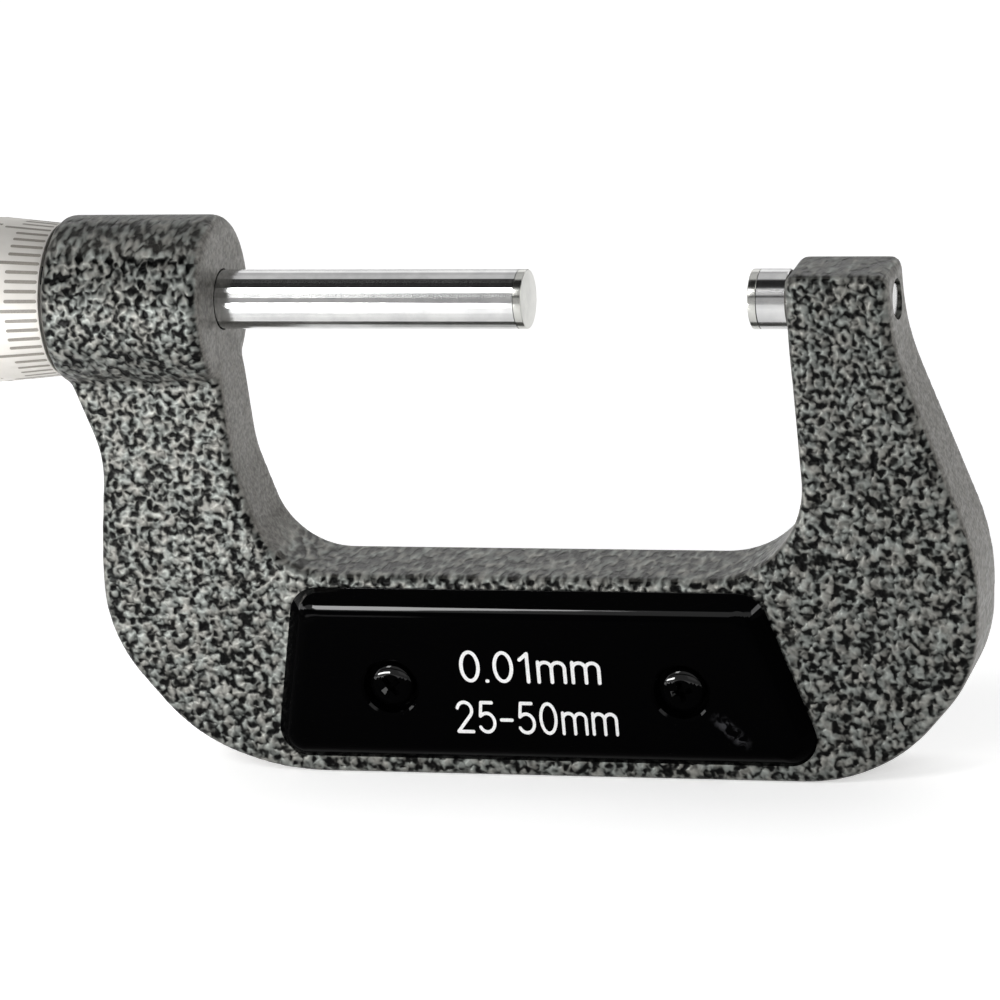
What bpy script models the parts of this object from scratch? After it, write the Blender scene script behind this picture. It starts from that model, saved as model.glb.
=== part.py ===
# Outside micrometer, 25 to 50 mm, reading 25.00 mm.
# The origin is the centre of the anvil's measuring face. The spindle comes towards it from -X, +Z is up
# in the plane of the frame, and -Y is the side with the written face of the front plate.

from math import acos, atan2, ceil, cos, pi, radians, sin, tan

import bmesh
import bpy
from mathutils import Matrix, Vector

MM = 0.001

# Clearances
SEAT_GAP = 0.1 * MM          # flat faces that rest on each other
BRAZE_GAP = 0.05 * MM        # a measuring tip on its rod
FIT_GAP = 0.3 * MM           # radial, between round pieces that fit in each other
THIMBLE_GAP = 0.3 * MM       # thimble edge to the head at 25.00 mm
OVERCUT = 5 * MM             # how far a cutter stands out of what it cuts

# Measuring range
SMALLEST_READING = 25 * MM
TRAVEL = 25 * MM

# Spindle and anvil
SPINDLE_RADIUS = 3.25 * MM
TIP_LENGTH = 0.9 * MM
TIP_CHAMFER = 0.12 * MM
ANVIL_LENGTH = 4.3 * MM
ANVIL_SHANK_RADIUS = 1.9 * MM
ANVIL_END_RECESS = 0.25 * MM
THREAD_RADIUS = 3.05 * MM
THREAD_RUN_OUT = 3 * MM
THREAD_UNDERCUT_WIDTH = 0.9 * MM
THREAD_UNDERCUT_DEPTH = 0.3 * MM
TAIL_TAPER_LENGTH = 4.6 * MM
TAIL_END_RADIUS = 2.6 * MM

# Frame
FRAME_TOP_HALF_THICKNESS = 4.2 * MM
FRAME_BEAM_HALF_THICKNESS = 5.3 * MM
FRAME_EDGE_RADIUS = 0.9 * MM
FRAME_LEFT_BULGE = 16.4 * MM
FRAME_RIGHT_BULGE = 8.0 * MM
THROAT_DEPTH = 30.3 * MM
BEAM_HEIGHT = 23.4 * MM
ARM_TOP_HEIGHT = 3.7 * MM
ARM_TOP_WIDTH = 11.3 * MM
HEAD_RADIUS = 9.3 * MM
HEAD_LENGTH = 18.2 * MM
HEAD_RIM_RADIUS = 1.0 * MM
HEAD_FRONT_WALL = 1.5 * MM
HEAD_TO_ANVIL_FACE = 59.8 * MM
HEAD_TO_THROAT_WALL = 0.35 * MM
NECK_TOP_DROP = 3.0 * MM
NECK_END_INSET = 0.8 * MM

# The casting's outer edge: inset from the widest place, depth as a share of the whole depth, and how
# much of the shorter side beside it a corner's fillet takes. The right side goes down from the arm,
# the left side goes up to the head.
RIGHT_EDGE = (
    (0.0, 0.525, 0.39),
    (0.9 * MM, 0.760, 0.42),
    (9.1 * MM, 0.935, 0.48),
    (16.8 * MM, 1.0, 0.45))
LEFT_EDGE = (
    (19.5 * MM, 1.0, 0.40),
    (9.4 * MM, 0.932, 0.52),
    (0.1 * MM, 0.706, 0.60),
    (0.5 * MM, 0.521, 0.28),
    (1.9 * MM, 0.317, 0.33))

# The throat's edge: inset from the head, then depth and fillet as shares of the throat's
THROAT_EDGE = (
    (0.6 * MM, 0.593, 0.13),
    (4.2 * MM, 1.0, 0.51))
ARM_KNEE_DEPTH = 0.13
ARM_OUTER_KNEE_FILLET = 0.58
ARM_FOOT_INSET = 0.7 * MM
ARM_FOOT_FILLET = 0.43
ARM_INNER_KNEE_FILLET = 0.04
ARM_CORNER_FILLET = 0.16

# Cover plates and their screws
PLATE_THICKNESS = 2.4 * MM
PLATE_BEVEL = 1.3 * MM
PLATE_EDGE_MARGIN = 1.2 * MM
PLATE_BOTTOM_MARGIN = 2.2 * MM
PLATE_CENTRE_X = -26.0 * MM
PLATE_TOP_LEFT_REACH = 27.4 * MM
PLATE_TOP_RIGHT_REACH = 25.3 * MM
PLATE_BOTTOM_LEFT_REACH = 31.2 * MM
PLATE_BOTTOM_RIGHT_REACH = 32.0 * MM
PLATE_CORNER_RADIUS = 3.3 * MM
PLATE_SCREW_SPACING = 33.0 * MM
PLATE_SCREW_BELOW_MIDDLE = 0.8 * MM
SCREW_HEAD_RADIUS = 2.5 * MM
SCREW_HEAD_HEIGHT = 1.35 * MM
SCREW_SHANK_RADIUS = 1.15 * MM
SCREW_SHANK_LENGTH = 4.8 * MM
SCREW_POCKET_DEPTH = 1.7 * MM
SCREW_HEAD_CROWN = (
    (0.55, 1.0),
    (0.85, 0.82),
    (1.0, 0.5))
CROSS_SLOT_WIDTH = 0.62 * MM
CROSS_SLOT_LENGTH = 3.0 * MM
CROSS_SLOT_DEPTH = 0.8 * MM

# Sleeves and adjusting nut
SLEEVE_RADIUS = 7.7 * MM
SLEEVE_LENGTH = 40.5 * MM
SLEEVE_WALL = 1.1 * MM
SPANNER_HOLE_RADIUS = 0.8 * MM
SPANNER_HOLE_PLACE = 28 * MM
SPANNER_HOLE_ANGLE = radians(-125)
NUT_ZONE_LENGTH = 13 * MM
NUT_SLOT_COUNT = 3
NUT_SLOT_WIDTH = 0.8 * MM
NUT_SLOT_TURN = radians(7)
NUT_ZONE_OUTER_RADIUS = 5.6 * MM
NUT_ZONE_TAPER = 0.3 * MM
NUT_ZONE_SHOULDER = 1.2 * MM
ADJUSTING_NUT_RADIUS = 7.4 * MM
ADJUSTING_NUT_LENGTH = 4.0 * MM
ADJUSTING_NUT_NOTCHES = 4
ADJUSTING_NUT_NOTCH_WIDTH = 1.4 * MM
ADJUSTING_NUT_NOTCH_DEPTH = 1.4 * MM

# Thimble
THIMBLE_RADIUS = 9.1 * MM
THIMBLE_EDGE_RADIUS = 8.4 * MM
THIMBLE_BEVEL_LENGTH = 6.8 * MM
THIMBLE_LENGTH = 50 * MM
THIMBLE_END_WALL = 4.0 * MM
THIMBLE_REAR_TAPER = 6.0 * MM
THIMBLE_REAR_RADIUS = 6.9 * MM
THIMBLE_REAR_LIP = 0.5 * MM
THIMBLE_REAR_CURVE_STEPS = 4
THIMBLE_GRIP_LENGTH = 19 * MM
THIMBLE_GROOVE_WIDTH = 0.9 * MM
THIMBLE_GROOVE_DEPTH = 0.35 * MM

# Ratchet stop
RATCHET_TEETH = 24
TOOTH_HEIGHT = 0.8 * MM
TOOTH_INNER_RADIUS = 2.5 * MM
TOOTH_OUTER_RADIUS = 4.4 * MM
TOOTH_FLANK_PLAY = radians(1.5)
TOOTH_RING_BACKING = 1.2 * MM
BOLT_SHANK_RADIUS = 1.4 * MM
BOLT_SHANK_LENGTH = 7.0 * MM
BOLT_FLANGE_THICKNESS = 2.0 * MM
BOLT_SHAFT_RADIUS = 1.9 * MM
DISC_THICKNESS = 2.0 * MM
DISC_LUGS = 4
DISC_LUG_LENGTH = 0.7 * MM
DISC_LUG_WIDTH = 1.6 * MM
SPRING_WIRE_RADIUS = 0.32 * MM
SPRING_RADIUS = 3.1 * MM
SPRING_LENGTH = 5.8 * MM
SPRING_TURNS = 5.5
SPRING_END_TURN_GAP = 0.08 * MM
KNOB_RADIUS = 6.3 * MM
KNOB_END_WALL = 2.0 * MM
KNOB_RECESS_RADIUS = 4.2 * MM
KNOB_RECESS_DEPTH = 3.1 * MM
KNOB_SKIRT_GAP = 0.7 * MM
KNOB_COLLAR_LENGTH = 2.2 * MM
KNOB_CHAMFER = 0.6 * MM
KNOB_GROOVE_DEPTH = 0.5 * MM
WASHER_RADIUS = 3.5 * MM
WASHER_THICKNESS = 0.6 * MM
KNOB_SCREW_HEAD_RADIUS = 2.5 * MM
KNOB_SCREW_HEAD_HEIGHT = 1.4 * MM
KNOB_SCREW_SHANK_RADIUS = 0.9 * MM
KNOB_SCREW_SHANK_LENGTH = 5.0 * MM
SCREW_SLOT_WIDTH = 0.7 * MM
SCREW_SLOT_DEPTH = 0.7 * MM

# Spindle lock
LOCK_TO_HEAD_FACE = 8.7 * MM
LOCK_DROP = 5.2 * MM
LOCK_SHAFT_RADIUS = 1.9 * MM
LOCK_CAM_RADIUS = 1.4 * MM
LOCK_CAM_OFFSET = 0.45 * MM
LOCK_CAM_WIDTH = 4.0 * MM
LOCK_CAM_REST_ANGLE = radians(-20)
LOCK_CORE_INSET = 0.15 * MM
LOCK_FRONT_JOURNAL = 1.4 * MM
LOCK_BOSS_RADIUS = 4.4 * MM
LOCK_BOSS_FACE = 7.6 * MM
LOCK_SQUARE = 2.6 * MM
LOCK_SQUARE_SETBACK = 0.9 * MM
LEVER_HUB_RADIUS = 4.0 * MM
LEVER_END_RADIUS = 2.3 * MM
LEVER_LENGTH = 12.5 * MM
LEVER_THICKNESS = 2.6 * MM
LEVER_EDGE_RADIUS = 0.5 * MM
LEVER_REST_ANGLE = radians(-80)
LOCK_SCREW_HEAD_RADIUS = 2.3 * MM
LOCK_SCREW_HEAD_HEIGHT = 1.3 * MM
LOCK_SCREW_SHANK_RADIUS = 0.8 * MM
LOCK_SCREW_SHANK_LENGTH = 3.6 * MM

# Shared small sizes
CHAMFER = 0.3 * MM
BLANK_OVERLAP = 0.5 * MM     # how far a joined blank runs into its neighbour

# Smoothness of round pieces
ROUND_STEPS = 36
SMALL_STEPS = 24
HOLE_STEPS = 20
ARC_STEPS_PER_TURN = 36
SMOOTH_ANGLE = radians(32)
SPRING_STEPS_PER_TURN = 12
SPRING_SIDES = 6

# Places that follow from the sizes above
SPINDLE_FACE_X = -SMALLEST_READING
HEAD_FACE_X = -HEAD_TO_ANVIL_FACE
HEAD_END_X = HEAD_FACE_X - HEAD_LENGTH
ARM_FACE_X = ANVIL_LENGTH
ARM_OUTER_X = ARM_FACE_X + ARM_TOP_WIDTH
BEAM_TOP_Z = -THROAT_DEPTH
TAPER_FOOT_Z = BEAM_TOP_Z - 2 * FRAME_EDGE_RADIUS
FRAME_DEPTH = THROAT_DEPTH + BEAM_HEIGHT
FRAME_BOTTOM_Z = -FRAME_DEPTH
PLATE_TOP_Z = BEAM_TOP_Z - PLATE_EDGE_MARGIN
PLATE_BOTTOM_Z = FRAME_BOTTOM_Z + PLATE_BOTTOM_MARGIN
PLATE_SCREW_Z = (PLATE_TOP_Z + PLATE_BOTTOM_Z) / 2 - PLATE_SCREW_BELOW_MIDDLE
GUIDE_RADIUS = SPINDLE_RADIUS + FIT_GAP
INNER_SLEEVE_RADIUS = SLEEVE_RADIUS - SLEEVE_WALL - FIT_GAP
HEAD_BORE_RADIUS = INNER_SLEEVE_RADIUS + FIT_GAP
HEAD_BORE_END_X = HEAD_FACE_X - HEAD_FRONT_WALL
INNER_SLEEVE_FRONT_X = HEAD_BORE_END_X - SEAT_GAP
SLEEVE_FRONT_X = HEAD_END_X - SEAT_GAP
SLEEVE_REAR_X = SLEEVE_FRONT_X - SLEEVE_LENGTH
ADJUSTING_NUT_FRONT_X = SLEEVE_REAR_X - FIT_GAP
ADJUSTING_NUT_REAR_X = ADJUSTING_NUT_FRONT_X - ADJUSTING_NUT_LENGTH
INNER_SLEEVE_REAR_X = ADJUSTING_NUT_REAR_X - SEAT_GAP
NUT_ZONE_X = INNER_SLEEVE_REAR_X + NUT_ZONE_LENGTH
THIMBLE_EDGE_X = HEAD_END_X - THIMBLE_GAP
THIMBLE_END_X = THIMBLE_EDGE_X - THIMBLE_LENGTH
THIMBLE_WALL_X = THIMBLE_END_X + THIMBLE_END_WALL
THIMBLE_BORE_RADIUS = SLEEVE_RADIUS + FIT_GAP
SPINDLE_TAIL_X = THIMBLE_END_X + FIT_GAP
TAPER_START_X = SPINDLE_TAIL_X + TAIL_TAPER_LENGTH
THREAD_START_X = TAPER_START_X + NUT_ZONE_LENGTH + TRAVEL + THREAD_RUN_OUT
FLANGE_SEAT_X = THIMBLE_END_X - SEAT_GAP
BOLT_TOOTH_ROOT_X = FLANGE_SEAT_X - BOLT_FLANGE_THICKNESS
DISC_TOOTH_ROOT_X = BOLT_TOOTH_ROOT_X - TOOTH_HEIGHT - FIT_GAP
DISC_BACK_X = DISC_TOOTH_ROOT_X - DISC_THICKNESS
SPRING_FRONT_X = DISC_BACK_X - FIT_GAP
SPRING_REAR_X = SPRING_FRONT_X - SPRING_LENGTH
KNOB_WALL_X = SPRING_REAR_X - FIT_GAP
KNOB_SEAT_X = KNOB_WALL_X - KNOB_END_WALL
KNOB_SKIRT_X = FLANGE_SEAT_X - KNOB_SKIRT_GAP
KNOB_END_X = KNOB_SEAT_X - KNOB_RECESS_DEPTH
KNOB_BORE_RADIUS = TOOTH_OUTER_RADIUS + FIT_GAP
WASHER_FRONT_X = KNOB_SEAT_X - SEAT_GAP
WASHER_REAR_X = WASHER_FRONT_X - WASHER_THICKNESS
KNOB_SCREW_SEAT_X = WASHER_REAR_X - SEAT_GAP
LOCK_X = HEAD_FACE_X - LOCK_TO_HEAD_FACE
LOCK_Z = -LOCK_DROP
LEVER_INNER_Y = LOCK_BOSS_FACE + FIT_GAP
LEVER_OUTER_Y = LEVER_INNER_Y + LEVER_THICKNESS
PLATE_SEAT_Y = FRAME_BEAM_HALF_THICKNESS + SEAT_GAP
PLATE_FACE_Y = PLATE_SEAT_Y + PLATE_THICKNESS

FRONT = -1
REAR = 1


def clear_scene():
    for old in list(bpy.data.objects):
        bpy.data.objects.remove(old, do_unlink=True)


def material(name, colour, roughness, metallic):
    made = bpy.data.materials.new(name)
    made.use_nodes = True
    shader = made.node_tree.nodes["Principled BSDF"]
    shader.inputs["Base Color"].default_value = (*colour, 1.0)
    shader.inputs["Roughness"].default_value = roughness
    shader.inputs["Metallic"].default_value = metallic
    made.diffuse_color = (*colour, 1.0)
    return made


def finish_mesh(name, mesh_builder, look=None, parent=None):
    """Turns a bmesh into a named, smooth-shaded object. A child keeps its place under its empty."""
    bmesh.ops.recalc_face_normals(mesh_builder, faces=mesh_builder.faces)
    mesh = bpy.data.meshes.new(name)
    mesh_builder.to_mesh(mesh)
    mesh_builder.free()
    mesh.shade_smooth()
    mesh.set_sharp_from_angle(angle=SMOOTH_ANGLE)
    made = bpy.data.objects.new(name, mesh)
    bpy.context.scene.collection.objects.link(made)
    if look is not None:
        mesh.materials.append(look)
    if parent is not None:
        made.parent = parent
        made.matrix_parent_inverse = Matrix.Translation(-parent.location)
    return made


def joint_empty(name, place, parent=None):
    """An empty on a joint's axis, which carries the pieces that turn or slide there."""
    empty = bpy.data.objects.new(name, None)
    empty.empty_display_size = 4 * MM
    empty.location = place
    bpy.context.scene.collection.objects.link(empty)
    if parent is not None:
        empty.parent = parent
        empty.matrix_parent_inverse = Matrix.Translation(-parent.location)
    return empty


def boolean(target, operands, operation="DIFFERENCE"):
    """Cuts with or joins on all operands in one exact Boolean. They stay as hidden wire guides."""
    step = target.modifiers.new(operation.lower(), "BOOLEAN")
    step.operation = operation
    step.solver = "EXACT"
    if len(operands) == 1:
        step.object = operands[0]
    else:
        group = bpy.data.collections.new(target.name + "_" + operation.lower())
        step.operand_type = "COLLECTION"
        step.collection = group
        for operand in operands:
            group.objects.link(operand)
    for operand in operands:
        operand.hide_render = True
        operand.display_type = "WIRE"


def turned(name, profile, look=None, parent=None, along="X", centre=(0, 0, 0), steps=ROUND_STEPS):
    """A turned piece. The profile is a closed loop of (distance along the axis, radius)."""
    builder = bmesh.new()
    place = Vector(centre)
    axis = Vector((1, 0, 0)) if along == "X" else Vector((0, 1, 0))
    outward = Vector((0, 0, 1))
    ring = [builder.verts.new(place + axis * distance + outward * radius) for distance, radius in profile]
    closes = profile[0][1] > 0 or profile[-1][1] > 0
    edges = [builder.edges.new(pair) for pair in zip(ring, ring[1:])]
    if closes:
        edges.append(builder.edges.new((ring[-1], ring[0])))
    bmesh.ops.spin(
        builder, geom=ring + edges, cent=place, axis=axis, angle=2 * pi, steps=steps, use_merge=True)
    bmesh.ops.remove_doubles(builder, verts=builder.verts, dist=1e-7)
    return finish_mesh(name, builder, look, parent)


def filleted_outline(corners, radii_are_shares=False):
    """Points of a closed outline whose corners (across, up, fillet) are rounded with arcs. A fillet is a
    radius, or the share of the shorter side beside it that the arc takes."""
    outline = []
    for index, (across, up, fillet) in enumerate(corners):
        corner = Vector((across, up))
        if fillet == 0:
            outline.append((across, up))
            continue
        to_last = Vector(corners[index - 1][:2]) - corner
        to_next = Vector(corners[(index + 1) % len(corners)][:2]) - corner
        shorter = min(to_last.length, to_next.length)
        to_last.normalize()
        to_next.normalize()
        half_angle = acos(max(-1.0, min(1.0, to_last.dot(to_next)))) / 2
        radius = fillet * shorter * tan(half_angle) if radii_are_shares else fillet
        middle = corner + (to_last + to_next).normalized() * (radius / sin(half_angle))
        first = corner + to_last * (radius / tan(half_angle)) - middle
        last = corner + to_next * (radius / tan(half_angle)) - middle
        start = atan2(first.y, first.x)
        sweep = (atan2(last.y, last.x) - start + pi) % (2 * pi) - pi
        steps = max(2, ceil(abs(sweep) / (2 * pi) * ARC_STEPS_PER_TURN))
        for step in range(steps + 1):
            turn = start + sweep * step / steps
            outline.append((middle.x + radius * cos(turn), middle.y + radius * sin(turn)))
    return outline


def extruded_outline(outline, low_y, high_y):
    """A bmesh plate between two Y planes, with its outline in the XZ plane."""
    builder = bmesh.new()
    face = builder.faces.new([builder.verts.new((x, low_y, z)) for x, z in outline])
    grown = bmesh.ops.extrude_face_region(builder, geom=[face])
    moved = [item for item in grown["geom"] if isinstance(item, bmesh.types.BMVert)]
    bmesh.ops.translate(builder, verts=moved, vec=(0, high_y - low_y, 0))
    bmesh.ops.recalc_face_normals(builder, faces=builder.faces)
    return builder


def rim_edges(builder, y_is_wanted):
    """Edges between a flat side and the walls, on the sides that are wanted."""
    def is_wall(face):
        return abs(face.normal.y) < 0.5
    return [
        edge for edge in builder.edges
        if len(edge.link_faces) == 2
        and is_wall(edge.link_faces[0]) != is_wall(edge.link_faces[1])
        and y_is_wanted(edge.verts[0].co.y)]


def box(name, low, high):
    """A plain block between two corners, used as a cutter or a lug."""
    builder = bmesh.new()
    bmesh.ops.create_cube(builder, size=1.0)
    size = Vector(high) - Vector(low)
    middle = (Vector(high) + Vector(low)) / 2
    bmesh.ops.scale(builder, verts=builder.verts, vec=size)
    bmesh.ops.translate(builder, verts=builder.verts, vec=middle)
    return finish_mesh(name, builder)


def frame_outline():
    """The casting seen from the side. Each corner is (x, z, fillet share)."""
    neck_end_x = HEAD_END_X + NECK_END_INSET
    left_wall_x = HEAD_FACE_X - HEAD_TO_THROAT_WALL
    widest_left_x = HEAD_FACE_X - FRAME_LEFT_BULGE
    widest_right_x = ARM_OUTER_X + FRAME_RIGHT_BULGE
    knee_z = -ARM_KNEE_DEPTH * THROAT_DEPTH
    corners = [
        (ARM_FACE_X, ARM_TOP_HEIGHT, ARM_CORNER_FILLET),
        (ARM_OUTER_X, ARM_TOP_HEIGHT, ARM_CORNER_FILLET),
        (ARM_OUTER_X, knee_z, ARM_OUTER_KNEE_FILLET)]
    for inset, depth, fillet in RIGHT_EDGE:
        corners.append((widest_right_x - inset, -depth * FRAME_DEPTH, fillet))
    for inset, depth, fillet in LEFT_EDGE:
        corners.append((widest_left_x + inset, -depth * FRAME_DEPTH, fillet))
    corners += [
        (neck_end_x, -HEAD_RADIUS + NECK_END_INSET, 0),
        (neck_end_x, -NECK_TOP_DROP, 0),
        (left_wall_x, -NECK_TOP_DROP, 0)]
    for inset, depth, fillet in THROAT_EDGE:
        corners.append((left_wall_x + inset, -depth * THROAT_DEPTH, fillet))
    corners += [
        (ARM_FACE_X + ARM_FOOT_INSET, BEAM_TOP_Z, ARM_FOOT_FILLET),
        (ARM_FACE_X, knee_z, ARM_INNER_KNEE_FILLET)]
    return filleted_outline(corners, radii_are_shares=True)


def taper_frame(builder):
    """Thins the casting from the beam to the arms' tops, on both flat sides."""
    bmesh.ops.bisect_plane(
        builder, geom=builder.verts[:] + builder.edges[:] + builder.faces[:],
        plane_co=(0, 0, TAPER_FOOT_Z), plane_no=(0, 0, 1))
    thinning = (FRAME_BEAM_HALF_THICKNESS - FRAME_TOP_HALF_THICKNESS) / (ARM_TOP_HEIGHT - TAPER_FOOT_Z)
    for vert in builder.verts:
        above_foot = max(0.0, vert.co.z - TAPER_FOOT_Z)
        half = FRAME_BEAM_HALF_THICKNESS - above_foot * thinning
        vert.co.y = half if vert.co.y > 0 else -half
    builder.normal_update()


def make_frame(paint):
    builder = extruded_outline(frame_outline(), -FRAME_BEAM_HALF_THICKNESS, FRAME_BEAM_HALF_THICKNESS)
    taper_frame(builder)
    bmesh.ops.bevel(
        builder, geom=rim_edges(builder, lambda y: True), offset=FRAME_EDGE_RADIUS,
        offset_type="OFFSET", segments=2, profile=0.5, affect="EDGES")
    frame = finish_mesh("frame", builder, paint)

    rim = HEAD_RIM_RADIUS
    rim_low = rim * (1 - cos(pi / 4))
    head = turned("head_blank", [
        (HEAD_END_X, 0),
        (HEAD_END_X, HEAD_RADIUS - rim), (HEAD_END_X + rim_low, HEAD_RADIUS - rim_low),
        (HEAD_END_X + rim, HEAD_RADIUS),
        (HEAD_FACE_X - rim, HEAD_RADIUS), (HEAD_FACE_X - rim_low, HEAD_RADIUS - rim_low),
        (HEAD_FACE_X, HEAD_RADIUS - rim), (HEAD_FACE_X, 0)])
    boss_root = FRAME_TOP_HALF_THICKNESS / 2
    boss_blank_end = LOCK_BOSS_FACE + BLANK_OVERLAP
    boss = turned("lock_boss_blank", [
        (boss_root, 0), (boss_root, LOCK_BOSS_RADIUS), (boss_blank_end, LOCK_BOSS_RADIUS),
        (boss_blank_end, 0),
    ], along="Y", centre=(LOCK_X, 0, LOCK_Z), steps=SMALL_STEPS)
    boolean(frame, [head, boss], "UNION")

    spot_radius = LOCK_BOSS_RADIUS + 2 * FIT_GAP
    cuts = [turned("lock_spotface_cutter", [
        (LOCK_BOSS_FACE, 0), (LOCK_BOSS_FACE, spot_radius),
        (HEAD_RADIUS + OVERCUT, spot_radius), (HEAD_RADIUS + OVERCUT, 0),
    ], along="Y", centre=(LOCK_X, 0, LOCK_Z), steps=SMALL_STEPS)]
    cuts.append(turned("head_bore_cutter", [
        (HEAD_END_X - OVERCUT, 0), (HEAD_END_X - OVERCUT, HEAD_BORE_RADIUS),
        (HEAD_BORE_END_X, HEAD_BORE_RADIUS), (HEAD_BORE_END_X, GUIDE_RADIUS),
        (HEAD_FACE_X + OVERCUT, GUIDE_RADIUS), (HEAD_FACE_X + OVERCUT, 0)]))
    lock_bore = LOCK_SHAFT_RADIUS + FIT_GAP
    lock_bore_end_y = -LOCK_CAM_WIDTH / 2 - LOCK_FRONT_JOURNAL - FIT_GAP
    cuts.append(turned("lock_bore_cutter", [
        (lock_bore_end_y, 0), (lock_bore_end_y, lock_bore),
        (LOCK_BOSS_FACE + OVERCUT, lock_bore), (LOCK_BOSS_FACE + OVERCUT, 0),
    ], along="Y", centre=(LOCK_X, 0, LOCK_Z), steps=SMALL_STEPS))
    cuts.append(turned("anvil_bore_cutter", [
        (0, 0), (0, ANVIL_SHANK_RADIUS + FIT_GAP),
        (ARM_OUTER_X + OVERCUT, ANVIL_SHANK_RADIUS + FIT_GAP), (ARM_OUTER_X + OVERCUT, 0),
    ], steps=SMALL_STEPS))
    reach = FRAME_BEAM_HALF_THICKNESS + OVERCUT
    for side, x in plate_screw_places():
        cuts.append(turned("tapped_hole_cutter_" + side, [
            (-reach, 0), (-reach, SCREW_SHANK_RADIUS + FIT_GAP),
            (reach, SCREW_SHANK_RADIUS + FIT_GAP), (reach, 0),
        ], along="Y", centre=(x, 0, PLATE_SCREW_Z), steps=HOLE_STEPS))
    boolean(frame, cuts)
    return frame


def plate_screw_places():
    half = PLATE_SCREW_SPACING / 2
    return (("left", PLATE_CENTRE_X - half), ("right", PLATE_CENTRE_X + half))


def make_cover_plate(name, side, plastic):
    """A moulded plate with a rounded rim and two screw pockets. side is FRONT or REAR."""
    outline = filleted_outline([
        (PLATE_CENTRE_X - PLATE_TOP_LEFT_REACH, PLATE_TOP_Z, PLATE_CORNER_RADIUS),
        (PLATE_CENTRE_X + PLATE_TOP_RIGHT_REACH, PLATE_TOP_Z, PLATE_CORNER_RADIUS),
        (PLATE_CENTRE_X + PLATE_BOTTOM_RIGHT_REACH, PLATE_BOTTOM_Z, PLATE_CORNER_RADIUS),
        (PLATE_CENTRE_X - PLATE_BOTTOM_LEFT_REACH, PLATE_BOTTOM_Z, PLATE_CORNER_RADIUS)])
    builder = extruded_outline(outline, side * PLATE_SEAT_Y, side * PLATE_FACE_Y)
    middle_y = (PLATE_SEAT_Y + PLATE_FACE_Y) / 2
    bmesh.ops.bevel(
        builder, geom=rim_edges(builder, lambda y: side * y > middle_y), offset=PLATE_BEVEL,
        offset_type="OFFSET", segments=3, profile=0.5, affect="EDGES")
    plate = finish_mesh(name, builder, plastic)
    pocket_floor = PLATE_FACE_Y - SCREW_POCKET_DEPTH
    pocket_radius = SCREW_HEAD_RADIUS + 2 * FIT_GAP
    pockets = []
    for place, x in plate_screw_places():
        profile = [
            (PLATE_SEAT_Y - OVERCUT, 0), (PLATE_SEAT_Y - OVERCUT, SCREW_SHANK_RADIUS + FIT_GAP),
            (pocket_floor, SCREW_SHANK_RADIUS + FIT_GAP), (pocket_floor, pocket_radius),
            (PLATE_FACE_Y + OVERCUT, pocket_radius), (PLATE_FACE_Y + OVERCUT, 0)]
        pockets.append(turned(
            name + "_pocket_cutter_" + place, [(side * y, radius) for y, radius in profile],
            along="Y", centre=(x, 0, PLATE_SCREW_Z), steps=SMALL_STEPS))
    boolean(plate, pockets)
    return plate


def make_plate_screw(name, side, x, steel):
    """A low cross-head screw whose head seats on the pocket's floor."""
    seat = PLATE_FACE_Y - SCREW_POCKET_DEPTH + SEAT_GAP
    top = seat + SCREW_HEAD_HEIGHT
    shank_end = seat - SCREW_SHANK_LENGTH
    profile = [
        (shank_end, 0), (shank_end, SCREW_SHANK_RADIUS), (seat, SCREW_SHANK_RADIUS),
        (seat, SCREW_HEAD_RADIUS),
        *[(seat + up * SCREW_HEAD_HEIGHT, out * SCREW_HEAD_RADIUS) for up, out in SCREW_HEAD_CROWN],
        (top, 0)]
    screw = turned(
        name, [(side * y, radius) for y, radius in profile], steel, along="Y",
        centre=(x, 0, PLATE_SCREW_Z), steps=SMALL_STEPS)
    half_length = CROSS_SLOT_LENGTH / 2
    half_width = CROSS_SLOT_WIDTH / 2
    corners = [
        (half_width, half_width), (half_width, half_length), (-half_width, half_length),
        (-half_width, half_width), (-half_length, half_width), (-half_length, -half_width),
        (-half_width, -half_width), (-half_width, -half_length), (half_width, -half_length),
        (half_width, -half_width), (half_length, -half_width), (half_length, half_width)]
    builder = extruded_outline(
        [(x + across, up + PLATE_SCREW_Z) for across, up in corners],
        side * (top - CROSS_SLOT_DEPTH), side * (top + OVERCUT))
    boolean(screw, [finish_mesh(name + "_cross_cutter", builder)])
    return screw


def make_anvil(steel, carbide):
    chamfer = TIP_CHAMFER
    anvil_tip = turned("anvil_tip", [
        (0, 0), (0, SPINDLE_RADIUS - chamfer), (chamfer, SPINDLE_RADIUS),
        (TIP_LENGTH, SPINDLE_RADIUS), (TIP_LENGTH, 0)], carbide)
    body_x = TIP_LENGTH + BRAZE_GAP
    shoulder_x = ARM_FACE_X - SEAT_GAP
    end_x = ARM_OUTER_X - ANVIL_END_RECESS
    anvil = turned("anvil", [
        (body_x, 0), (body_x, SPINDLE_RADIUS), (shoulder_x, SPINDLE_RADIUS),
        (shoulder_x, ANVIL_SHANK_RADIUS), (end_x - CHAMFER, ANVIL_SHANK_RADIUS),
        (end_x, ANVIL_SHANK_RADIUS - CHAMFER), (end_x, 0)], steel)
    return anvil, anvil_tip


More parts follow.
